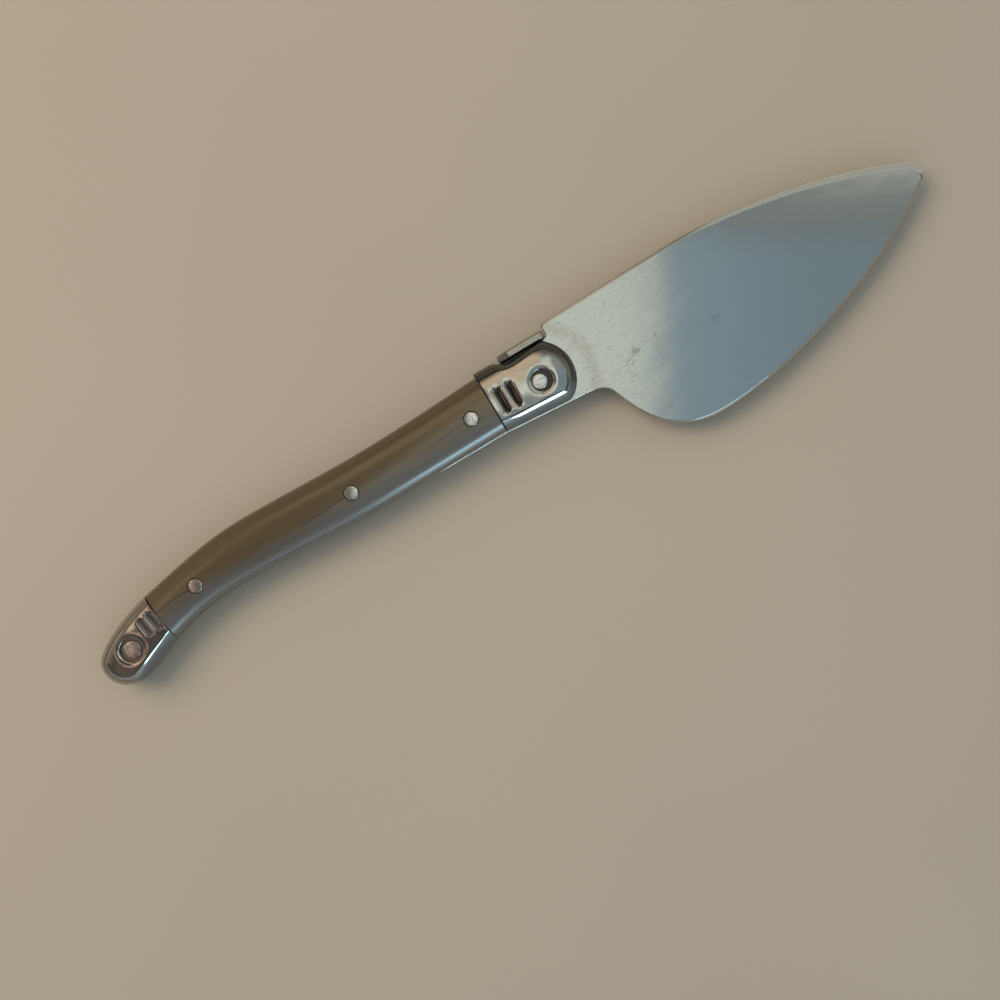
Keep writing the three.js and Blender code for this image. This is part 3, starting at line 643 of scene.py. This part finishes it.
def seat_shade(place, height):
    """Painted shade in the seats round the bolsters' rivets."""
    films = [
        thickness * (1 - place.distance_seen(middle_mm(node)).step(SEAT_REACH - SEAT_FADE, SEAT_REACH))
        for node, thickness in SEAT_SHADES.items()
    ]
    return added(films) * (1 - height.step(*SEAT_TOP))


def joint_darkening(place):
    """Darkening along the joint of the front bolsters and scales."""
    from_joint = place.axis("X") - FRONT_JOINT
    return from_joint.past(-1) * (1 - from_joint.step(*JOINT_DARK_ENDS))


def plate_steel_material(finish):
    """Dull, handled steel with darker film."""
    material, shader, tree, place = start_material("plate_steel")
    scuffs = place.streaks(0.6, 3.0, detail=4, roughness=0.6)
    tint_layer = 0.35 + 0.25 * place.noise(1.4, detail=3, roughness=0.5).step(0.35, 0.7)
    tree.plug(shader, {
        "Base Color": tint_layer.mix(opaque(finish.bolster_steel), opaque(finish.tarnish)),
        "Metallic": 1.0,
        "Roughness": 0.16 + 0.14 * scuffs,
        "Normal": bump(tree, scuffs, strength=0.2, distance=0.05),
    })
    return material


def rivet_steel_material(finish):
    """Satin steel with dark spots."""
    material, shader, tree, place = start_material("rivet_steel")
    spots = place.noise(1.6, detail=4, roughness=0.65).step(0.5, 0.66)
    brushed = place.streaks(1.2, 6.0, detail=3, roughness=0.6)
    tree.plug(shader, {
        "Base Color": coat(opaque(finish.rivet_steel), finish.tarnish, spots, strength=0.4),
        "Metallic": 1.0,
        "Roughness": 0.15 + 0.08 * brushed + 0.12 * spots,
        "Normal": bump(tree, brushed, strength=0.15, distance=0.05),
    })
    return material


# Plastic of the scales

# Distances from the middle rivet over which the painted cool sheen of the lower half turns into the warm
# upper half, and how far the drifts swing
PEARL_BELLY = (-4.5, 1.5)
PEARL_DRIFT = 5.0

# Lines behind the rivets: length and half width, the shares of them that are clear, slope and swing, and
# the distances over which they begin and come to swing
KNIT_LENGTH = 20.0
KNIT_WIDTH = 0.35
KNIT_CLEAR = 0.4
KNIT_CORE = 0.3
KNIT_SLOPE = 0.05
KNIT_SWING = 1.6
KNIT_START = (0.0, 1.0)
KNIT_LOOSE = (0.0, 6.0)


def pearl_material(finish):
    """Polished pearl plastic under a clear glossy skin, with a painted cool sheen on its lower half
    drifting into a warm upper half.
    """
    material, shader, tree, place = start_material("pearl_plastic")
    drift = place.streaks(0.03, 0.22, detail=3, roughness=0.5, distortion=0.6)
    silk = place.streaks(0.05, 1.6, detail=4, roughness=0.6, distortion=0.4)
    above = place.axis("Y") - middle_mm("scale_rivet_middle").y
    # Painted light: the lower half takes the cool sheen's grey and the upper half the warm taupe
    belly = 1 - (above + drift.swing(PEARL_DRIFT)).step(*PEARL_BELLY)
    body = belly.mix(opaque(finish.pearl_warm), opaque(finish.pearl_painted_sheen))
    body = coat(body, finish.pearl_dark, silk.step(0.35, 0.8), strength=0.22)
    body = coat(body, finish.pearl_dark, knit_lines(place), strength=0.6)
    tree.plug(shader, {
        "Base Color": body,
        "Metallic": 0.4,
        "Roughness": 0.36 + 0.08 * silk,
        "Coat Weight": 0.9,
        "Coat Roughness": 0.18,
        "Coat IOR": 1.75,
    })
    return material


def knit_lines(place):
    """Faint lines in the plastic behind each rivet, running towards the tail."""
    wander = place.scaled((0.12, 0.0, 0.0)).noise(1.0, detail=2, roughness=0.55).swing(KNIT_SWING)
    lines = []
    for node in SCALE_RIVETS:
        start = middle_mm(node)
        behind = start.x - place.axis("X")
        fade = (1 - behind.step(KNIT_LENGTH * KNIT_CLEAR, KNIT_LENGTH)) * behind.step(*KNIT_START)
        sway = wander * behind.step(*KNIT_LOOSE)
        aside = abs(place.axis("Y") - start.y + behind * KNIT_SLOPE + sway)
        lines.append((1 - aside.step(KNIT_WIDTH * KNIT_CORE, KNIT_WIDTH)) * fade)
    return added(lines)


# Paint of the table

MOTTLE = 0.03


def table_material(finish):
    """Pale painted table top, faintly mottled and grained."""
    material, shader, tree, place = start_material("table_top")
    mottle = place.noise(0.006, detail=2, roughness=0.5).step(0.3, 0.7)
    grain = place.noise(1.3, detail=3, roughness=0.6)
    dull, pale = (tuple(channel * share for channel in finish.table) for share in (1 - MOTTLE, 1 + MOTTLE))
    tree.plug(shader, {
        "Base Color": (0.7 * mottle + 0.3 * grain).mix(opaque(dull), opaque(pale)),
        "Roughness": 0.5 + 0.1 * grain,
        "Specular IOR Level": 0.2,
        "Normal": bump(tree, grain, strength=0.1, distance=0.05),
    })
    return material


# Pieces


class KnifePiece(bpy.types.Operator):
    """Common base of the operators that make the knife"""

    bl_options = {"REGISTER", "UNDO"}

    @property
    def shape(self):
        return bpy.context.scene.knife_shape

    @property
    def finish(self):
        return bpy.context.scene.knife_finish


class KNIFE_OT_blade(KnifePiece):
    """Blade and tang from one sheet, with softened edges"""

    bl_idname = "knife.blade"
    bl_label = "Blade"

    def execute(self, context):
        piece = copy_node("blade", "blade_sheet")
        round_edges(piece, self.shape.sheet_round, segments=3, angle=25)
        smooth(piece, angle=30)
        settle(piece, "blade", blade_steel_material(self.finish))
        return {"FINISHED"}


class KNIFE_OT_spine_plate(KnifePiece):
    """Plain plate in the notch of the spine"""

    bl_idname = "knife.spine_plate"
    bl_label = "Spine plate"

    def execute(self, context):
        low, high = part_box("spine_plate")
        middle = (low + high) / 2
        shape = self.shape
        bpy.ops.object.select_all(action="DESELECT")
        bpy.ops.mesh.primitive_cube_add(size=1, location=middle, scale=high - low)
        piece = context.object
        piece.name = "plain_spine_plate"
        place_into_mesh()
        edit()
        bpy.ops.mesh.select_all(action="SELECT")
        bpy.ops.mesh.bisect(plane_co=(low.x + shape.plate_taper, 0, 0), plane_no=(1, 0, 0))
        pick("FACE", lambda at, normal: normal.x < -FACING)
        bpy.ops.transform.resize(value=(1, 1, shape.plate_tail), center_override=middle)
        pick("EDGE", lambda at, _: high.x - at.x < TOUCH and abs(at.z - middle.z) > MM)
        bpy.ops.mesh.bevel(offset=shape.plate_nose, segments=8, affect="EDGES")
        done()
        round_edges(piece, shape.plate_round, segments=4, angle=30)
        tidy_mesh(piece)
        smooth(piece, angle=40)
        settle(piece, "spine_plate", plate_steel_material(self.finish))
        return {"FINISHED"}


# Bend from which an edge is a rim, margin round a rivet's hole, and points of the cage that bends a top
RIM_BEND = math.radians(35)
HOLE_MARGIN = 0.1 * MM
CAGE_POINTS = (11, 9, 2)


class KNIFE_OT_bolsters(KnifePiece):
    """Front and rear bolsters on both sides, with rounded rims and crowned tops"""

    bl_idname = "knife.bolsters"
    bl_label = "Bolsters"

    def execute(self, context):
        material = bolster_steel_material(self.finish)
        for end, rivet in (("front", FRONT_RIVET), ("rear", REAR_RIVET)):
            for side, sign in SIDES.items():
                node = f"{end}_bolster_{side}"
                piece = copy_node(node, f"{end}_{side}_bolster")
                self.round_rims(rivet)
                self.cut_net(node, sign)
                self.bend(piece, node, rivet, sign)
                smooth(piece, angle=35)
                settle(piece, node, material)
        return {"FINISHED"}

    def round_rims(self, rivet):
        """Rounds the joint and the rims of the flutes and seat, but not the rivet's hole."""
        low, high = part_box(rivet)
        hole = (high.x - low.x) / 2 + HOLE_MARGIN
        edit()
        pick("EDGE", lambda at, bend: bend > RIM_BEND and (at - (low + high) / 2).xy.length > hole)
        bpy.ops.mesh.bevel(offset=self.shape.bolster_round, segments=3, affect="EDGES")
        done()

    def cut_net(self, node, sign):
        """Cuts the flat top into a net of small faces."""
        low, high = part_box(node)
        top = high.z if sign > 0 else low.z
        edit()
        for axis in (0, 1):
            across = Vector((1 - axis, axis, 0))
            count = int((high[axis] - low[axis]) / self.shape.crown_net)
            for index in range(1, count):
                cut = low + (high - low) * index / count
                pick("FACE", lambda at, normal: abs(at.z - top) < TOUCH and normal.z * sign > FACING)
                bpy.ops.mesh.bisect(plane_co=cut, plane_no=across)
        done()

    def bend(self, piece, node, rivet, sign):
        """Lowers the top towards its edges with a lattice whose foot stays put."""
        low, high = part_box(node)
        centre = middle_of(rivet)
        bpy.ops.object.select_all(action="DESELECT")
        bpy.ops.object.add(type="LATTICE", location=(low + high) / 2)
        cage = bpy.context.object
        cage.scale = high - low
        cage.data.points_u, cage.data.points_v, cage.data.points_w = CAGE_POINTS
        cage.data.interpolation_type_w = "KEY_LINEAR"
        bpy.context.view_layer.update()
        for point in cage.data.points:
            at = cage.matrix_world @ point.co
            if point.co.z * sign > 0:
                point.co_deform.z -= sign * self.fall(at - centre, rivet) / cage.scale.z
        add_modifier(piece, "LATTICE", object=cage)
        bpy.data.objects.remove(cage)

    def fall(self, off, rivet):
        """How far a top falls at a place, to both sides of its line and towards its rounded end."""
        turn = TAIL_TURN if rivet == REAR_RIVET else 0
        along = off.x * math.cos(turn) + off.y * math.sin(turn)
        aside = off.y * math.cos(turn) - off.x * math.sin(turn)
        past = min(along, 0) if turn else max(along, 0)
        return (aside ** 2 + past ** 2) / self.shape.crown_reach ** 2 * self.shape.bolster_crown


# Distance from the rivets beyond which a point of a scale's foot is on its rim, and overrun of the loft
RIM_CLEAR = 3 * MM
LOFT_OVERRUN = MM


class ScaleEdges:
    """The foot, height and long edges of one of the frame's scales."""

    def __init__(self, node, sign):
        low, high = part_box(node)
        self.foot = low.z if sign > 0 else high.z
        self.height = high.z - low.z
        holes = [middle_of(rivet) for rivet in SCALE_RIVETS]
        rim = {}
        for at in (vertex.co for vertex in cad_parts[node].data.vertices):
            on_foot = abs(at.z - self.foot) < TOUCH
            if on_foot and all((at - hole).xy.length > RIM_CLEAR for hole in holes):
                rim[round(at.x / MM, 3), round(at.y / MM, 3)] = at
        rim = sorted(rim.values(), key=lambda at: -at.x)
        ends = [at.y for at in rim if rim[0].x - at.x < TOUCH]
        middle = (min(ends) + max(ends)) / 2
        self.top = [at for at in rim if at.y > middle]
        self.low = [at for at in rim if at.y <= middle]
        self.rear_top = self.top[-1]
        across = self.low[-1] - self.top[-1]
        self.rear_normal = Vector((across.y, -across.x, 0)).normalized()
        if self.rear_normal.x > 0:
            self.rear_normal.negate()

    @staticmethod
    def height_at(line, x):
        """Height of an edge at a place along the knife, running straight on past its ends."""
        before, after = line[-2], line[-1]
        for first, second in zip(line, line[1:]):
            if second.x <= x and first.x - second.x > MERGE:
                before, after = first, second
                break
        share = (x - before.x) / (after.x - before.x)
        return before.y + share * (after.y - before.y)

    def stations(self, count):
        """Places along the scale, with the middle and half height of its section there."""
        first = self.top[0].x
        last = min(self.top[-1].x, self.low[-1].x) - LOFT_OVERRUN
        found = []
        for index in range(count + 1):
            x = first + (last - first) * index / count
            top = self.height_at(self.top, x)
            low = self.height_at(self.low, x)
            found.append((x, (top + low) / 2, (top - low) / 2))
        return found


# Length and widening of a countersink, as multiples of its flare
FLARE_RUN = 3


class KNIFE_OT_scales(KnifePiece):
    """Arched scales on both sides, lofted between the edges of the frame's own scales"""

    bl_idname = "knife.scales"
    bl_label = "Scales"

    def execute(self, context):
        material = pearl_material(self.finish)
        for side in SIDES:
            piece = self.loft(side)
            round_edges(piece, self.shape.scale_round, segments=2, angle=60)
            self.drill(piece)
            tidy_mesh(piece)
            smooth(piece, angle=40)
            settle(piece, f"scale_{side}", material)
        return {"FINISHED"}

    def loft(self, side):
        """Runs the arched section along the scale and cuts it off at the slanted rear joint."""
        shape = self.shape
        edges = ScaleEdges(f"scale_{side}", SIDES[side])
        arch = edges.height - shape.scale_wall
        bpy.ops.object.select_all(action="DESELECT")
        bpy.ops.mesh.primitive_plane_add(size=2, rotation=(math.pi / 2, 0, math.pi / 2))
        piece = bpy.context.object
        piece.name = f"{side}_scale"
        place_into_mesh()
        self.section(shape.scale_wall / arch)
        edit()
        bpy.ops.mesh.select_all(action="SELECT")
        stations = edges.stations(shape.scale_stations)
        x, centre, half = stations[0]
        bpy.ops.transform.resize(value=(1, half, SIDES[side] * arch), center_override=(0, 0, 0))
        bpy.ops.transform.translate(value=(x, centre, edges.foot))
        for next_x, next_centre, next_half in stations[1:]:
            bpy.ops.mesh.extrude_region_move(
                TRANSFORM_OT_translate={"value": (next_x - x, next_centre - centre, 0)},
            )
            bpy.ops.transform.resize(
                value=(1, next_half / half, 1), center_override=(next_x, next_centre, edges.foot),
            )
            x, centre, half = next_x, next_centre, next_half
        bpy.ops.mesh.select_all(action="SELECT")
        bpy.ops.mesh.normals_make_consistent(inside=False)
        bpy.ops.mesh.bisect(
            plane_co=edges.rear_top, plane_no=edges.rear_normal, use_fill=True, clear_outer=True,
        )
        done()
        return piece

    def section(self, wall):
        """Shapes a plane into an arched section, a unit to each side and a unit high above its wall."""
        shape = self.shape
        edit()
        bpy.ops.mesh.select_all(action="SELECT")
        bpy.ops.transform.resize(value=(1, 1, (1 + wall) / 2), center_override=(0, 0, -1))
        bpy.ops.transform.translate(value=(0, 0, 1))
        pick("VERT", lambda at, _: at.z > wall)
        bpy.ops.mesh.bevel(
            affect="VERTICES", offset=1, segments=shape.arch_segments,
            profile=2 ** (-2 / shape.scale_square), clamp_overlap=True,
        )
        bpy.ops.mesh.select_all(action="SELECT")
        bpy.ops.mesh.remove_doubles(threshold=MM / 10)
        done()

    def drill(self, piece):
        """Cuts the rivet holes, each with a small countersink."""
        for node in SCALE_RIVETS:
            low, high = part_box(node)
            radius = (high.x - low.x) / 2 + self.shape.hole_gap
            cutter = self.drill_bit((low + high) / 2, radius, high.z - low.z)
            add_modifier(piece, "BOOLEAN", operation="DIFFERENCE", solver="EXACT", object=cutter)
            bpy.data.objects.remove(cutter)

    def drill_bit(self, centre, radius, depth):
        flare = self.shape.hole_flare
        run = FLARE_RUN * flare
        widening = (radius + run) / radius
        bpy.ops.object.select_all(action="DESELECT")
        bpy.ops.mesh.primitive_cylinder_add(
            vertices=48, radius=radius, depth=depth - 2 * flare, location=centre,
        )
        cutter = bpy.context.object
        edit()
        for sign in SIDES.values():
            pick("FACE", lambda at, normal: normal.z * sign > FACING)
            bpy.ops.mesh.extrude_region_move(TRANSFORM_OT_translate={"value": (0, 0, sign * run)})
            bpy.ops.transform.resize(value=(widening, widening, 1), center_override=centre)
        done()
        return cutter


# Shares of a rivet's dome that the insets of its end add, and of its width that each takes up
DOME_SHARES = (0.5, 0.3, 0.2)
DOME_INSET = 1 / 8


class KNIFE_OT_rivets(KnifePiece):
    """Rivets through the bolsters and scales, with rounded rims and domed ends"""

    bl_idname = "knife.rivets"
    bl_label = "Rivets"

    def execute(self, context):
        material = rivet_steel_material(self.finish)
        for family in ([FRONT_RIVET], [REAR_RIVET], SCALE_RIVETS):
            first = self.rivet(family[0])
            others = [self.copy(first, middle_of(node) - middle_of(family[0])) for node in family[1:]]
            for node, piece in zip(family, [first, *others]):
                piece.name = f"{node}_pin"
                settle(piece, node, material)
        return {"FINISHED"}

    def rivet(self, node):
        shape = self.shape
        low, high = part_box(node)
        middle = (low + high) / 2
        width = high.x - low.x
        depth = high.z - low.z - 2 * shape.rivet_dome
        bpy.ops.object.select_all(action="DESELECT")
        bpy.ops.mesh.primitive_cylinder_add(vertices=64, radius=width / 2, depth=depth, location=middle)
        piece = bpy.context.object
        place_into_mesh()
        edit()
        pick("EDGE", lambda at, _: abs(abs(at.z - middle.z) - depth / 2) < TOUCH)
        bpy.ops.mesh.bevel(offset=shape.rivet_round, segments=5, affect="EDGES")
        for share in DOME_SHARES:
            pick("FACE", lambda at, normal: abs(normal.z) > FACING and (at - middle).xy.length < MM / 10)
            bpy.ops.mesh.inset(
                thickness=width * DOME_INSET, depth=shape.rivet_dome * share, use_individual=True,
            )
        done()
        smooth(piece, angle=50)
        return piece

    def copy(self, first, shift):
        select_only(first)
        bpy.ops.object.duplicate(linked=False)
        bpy.ops.transform.translate(value=shift)
        return bpy.context.object


# Stage

# Light cards that the steel mirrors: reach across and up the picture, in metres, and brightness
CARDS = {
    "bright_card": ((-0.11, 0.172), (0.055, 0.25), (0.78, 0.83, 0.74)),
    "rivet_card": ((-0.12, -0.005), (-0.12, 0.053), (0.72, 0.74, 0.70)),
    "under_card": ((0.0, 0.172), (-0.30, 0.053), (0.24, 0.28, 0.28)),
    "pale_card": ((0.06, 0.172), (0.252, 0.34), (0.74, 0.79, 0.72)),
    "cool_card": ((0.176, 0.25), (-0.35, 0.29), (0.20, 0.32, 0.385)),
    "blue_card": ((0.25, 0.315), (-0.35, 0.29), (0.185, 0.28, 0.35)),
    "deep_card": ((0.315, 0.62), (-0.35, 0.29), (0.158, 0.252, 0.30)),
    "shade_card": ((0.185, 0.64), (0.293, 0.335), (0.185, 0.22, 0.22)),
    "grey_card": ((0.12, 0.64), (0.342, 0.54), (0.45, 0.485, 0.43)),
    "warm_card": ((-0.50, 0.055), (0.25, 0.62), (0.66, 0.51, 0.34)),
    "beige_card": ((0.06, 1.0), (0.55, 1.0), (0.51, 0.46, 0.36)),
    "tip_card": ((0.66, 1.0), (0.38, 0.545), (0.60, 0.55, 0.46)),
    "far_card": ((1.02, 2.0), (0.30, 1.35), (0.42, 0.39, 0.32)),
    "cream_card": ((-0.62, -0.43), (-0.09, 0.16), (0.88, 0.66, 0.41)),
    "pink_card": ((-0.47, -0.36), (-0.26, -0.12), (0.74, 0.44, 0.37)),
    "brown_card": ((-2.4, -0.625), (-0.3, 0.6), (0.16, 0.115, 0.075)),
    "dusk_card": ((-0.62, -0.13), (-0.9, -0.27), (0.05, 0.025, 0.015)),
}

# Cool window and its sill: the point they face and their way from it, across and up the picture, then the
# distance that way of each, its shift along the knife, height, size and brightness
WINDOW_FACES = Vector((-0.03, 0, 0))
WINDOW_WAY = (0.613, -0.790)
WINDOWS = {
    "window_card": (1.0, 0.10, 0.74, (0.6, 0.30), (3.2, 5.3, 6.2)),
    "sill_card": (1.1, 0.0, 0.36, (0.5, 0.4), (0.9, 1.2, 1.35)),
}

# Warm key light: its place across and up the picture and over the table, its size and brightness
KEY_PLACE = (-0.6, 0.28, 0.75)
KEY_SIZE = (0.6, 0.6)
KEY_LIGHT = (5.5, 4.5, 3.45)

# What the camera and matt surfaces see of the room, and its walls, floor line and ceiling in the steel
BACKDROP = (0.62, 0.58, 0.52)
ROOM_LIGHT = (0.54, 0.62, 0.70)
COOL_WALL = (0.38, 0.43, 0.45)
WARM_WALL = (0.30, 0.27, 0.22)
FLOOR_LINE = (0.10, 0.10, 0.09)
CEILING = (0.10, 0.09, 0.08)

# Shares of a direction over which the cool wall turns into the warm one, and the walls begin and end
WALL_TURN = (-0.6, 0.6)
WALL_FOOT = (0.06, 0.24)
WALL_HEAD = (0.40, 0.68)


class KNIFE_OT_stage(KnifePiece):
    """Pale table, soft light cards and the camera"""

    bl_idname = "knife.stage"
    bl_label = "Stage"

    def execute(self, context):
        stage = context.scene.knife_stage
        self.turn = stage.camera_turn
        self.nadir = Vector((*stage.camera_place, 0))
        self.right = Vector((math.cos(self.turn), -math.sin(self.turn), 0))
        self.up = Vector((math.sin(self.turn), math.cos(self.turn), 0))
        self.table(stage)
        self.camera(stage)
        self.world()
        for name, (across, along, radiance) in CARDS.items():
            self.card(name, across, along, stage.card_height, radiance)
        self.windows()
        self.key_light()
        context.scene.view_settings.view_transform = "Standard"
        return {"FINISHED"}

    def table(self, stage):
        bpy.ops.object.select_all(action="DESELECT")
        bpy.ops.mesh.primitive_plane_add(size=stage.floor_size)
        floor = bpy.context.object
        floor.name = "table_top"
        floor.data.materials.append(table_material(self.finish))

    def camera(self, stage):
        bpy.ops.object.camera_add(
            location=self.nadir + Vector((0, 0, stage.camera_height)), rotation=(0, 0, -self.turn),
        )
        camera = bpy.context.object
        camera.data.angle = stage.camera_field
        camera.data.clip_start = MM
        bpy.context.scene.camera = camera

    def world(self):
        """A room with even light, where steel mirrors pale walls between a dark floor line and ceiling."""
        world = bpy.context.scene.world or bpy.data.worlds.new("room")
        bpy.context.scene.world = world
        world.use_nodes = True
        tree = Socket(world.node_tree)
        seen = tree.node("ShaderNodeLightPath", output="Is Camera Ray")
        lit = tree.node("ShaderNodeLightPath", output="Is Diffuse Ray")
        toward = tree.node("ShaderNodeTexCoord", output="Generated")
        walls = toward.axis("Y").step(*WALL_TURN).mix(opaque(COOL_WALL), opaque(WARM_WALL))
        walls = toward.axis("Z").step(*WALL_FOOT).mix(opaque(FLOOR_LINE), walls)
        mirrored = toward.axis("Z").step(*WALL_HEAD).mix(walls, opaque(CEILING))
        room = lit.mix(mirrored, opaque(ROOM_LIGHT))
        tree.plug(world.node_tree.nodes["Background"], {"Color": seen.mix(room, opaque(BACKDROP))})

    def spot(self, across, along, height):
        """A point over the table, across and up the picture from the point under the camera."""
        return self.nadir + self.right * across + self.up * along + Vector((0, 0, height))

    def lamp(self, name, place, target, size, radiance):
        """An evenly bright rectangle that faces a point, unseen by the camera."""
        data = bpy.data.lights.new(name, "AREA")
        data.shape = "RECTANGLE"
        data.size, data.size_y = size
        strength = max(radiance)
        data.color = tuple(channel / strength for channel in radiance)
        data.energy = math.pi * size[0] * size[1] * strength
        lamp = bpy.data.objects.new(name, data)
        bpy.context.scene.collection.objects.link(lamp)
        lamp.location = place
        lamp.rotation_euler = (place - target).to_track_quat("Z", "Y").to_euler()
        lamp.visible_camera = False
        return lamp

    def card(self, name, across, along, height, radiance):
        """A flat card of even light over the table, square to the picture."""
        place = self.spot(sum(across) / 2, sum(along) / 2, height)
        size = (across[1] - across[0], along[1] - along[0])
        card = self.lamp(name, place, place - Vector((0, 0, 1)), size, radiance)
        card.rotation_euler = (0, 0, -self.turn)
        card.visible_diffuse = False

    def windows(self):
        """A cool window and its sill beyond the lower right, which show on the rounded flanks."""
        way = self.right * WINDOW_WAY[0] + self.up * WINDOW_WAY[1]
        for name, (distance, shift, height, size, radiance) in WINDOWS.items():
            place = WINDOW_FACES + way * distance + Vector((shift, 0, height))
            window = self.lamp(name, place, WINDOW_FACES, size, radiance)
            window.visible_diffuse = False

    def key_light(self):
        """A soft warm light at the upper left, which lights the table together with the room."""
        key = self.lamp("warm_key", self.spot(*KEY_PLACE), Vector((0, 0, 0)), KEY_SIZE, KEY_LIGHT)
        key.visible_glossy = False


# Panel and registration


class VIEW3D_PT_knife(bpy.types.Panel):
    """Lists the operators that make the knife"""

    bl_label = "Cheese knife"
    bl_idname = "VIEW3D_PT_knife"
    bl_space_type = "VIEW_3D"
    bl_region_type = "UI"
    bl_category = "Knife"

    def draw(self, context):
        for operator in OPERATORS:
            self.layout.operator(operator.bl_idname)
        for group in (context.scene.knife_shape, context.scene.knife_finish, context.scene.knife_stage):
            box = self.layout.box()
            for name in group.__annotations__:
                box.prop(group, name)


OPERATORS = (
    KNIFE_OT_blade, KNIFE_OT_bolsters, KNIFE_OT_spine_plate, KNIFE_OT_scales, KNIFE_OT_rivets,
    KNIFE_OT_stage,
)
GROUPS = {"knife_shape": KnifeShape, "knife_finish": KnifeFinish, "knife_stage": KnifeStage}


def register():
    for group in GROUPS.values():
        bpy.utils.register_class(group)
    for name, group in GROUPS.items():
        setattr(bpy.types.Scene, name, PointerProperty(type=group))
    for operator in OPERATORS:
        bpy.utils.register_class(operator)
    bpy.utils.register_class(VIEW3D_PT_knife)


def unregister():
    bpy.utils.unregister_class(VIEW3D_PT_knife)
    for operator in reversed(OPERATORS):
        bpy.utils.unregister_class(operator)
    for name in GROUPS:
        delattr(bpy.types.Scene, name)
    for group in GROUPS.values():
        bpy.utils.unregister_class(group)


def main():
    register()
    bpy.ops.knife.blade()
    bpy.ops.knife.bolsters()
    bpy.ops.knife.spine_plate()
    bpy.ops.knife.scales()
    bpy.ops.knife.rivets()
    bpy.ops.knife.stage()


if __name__ == "__main__":
    main()
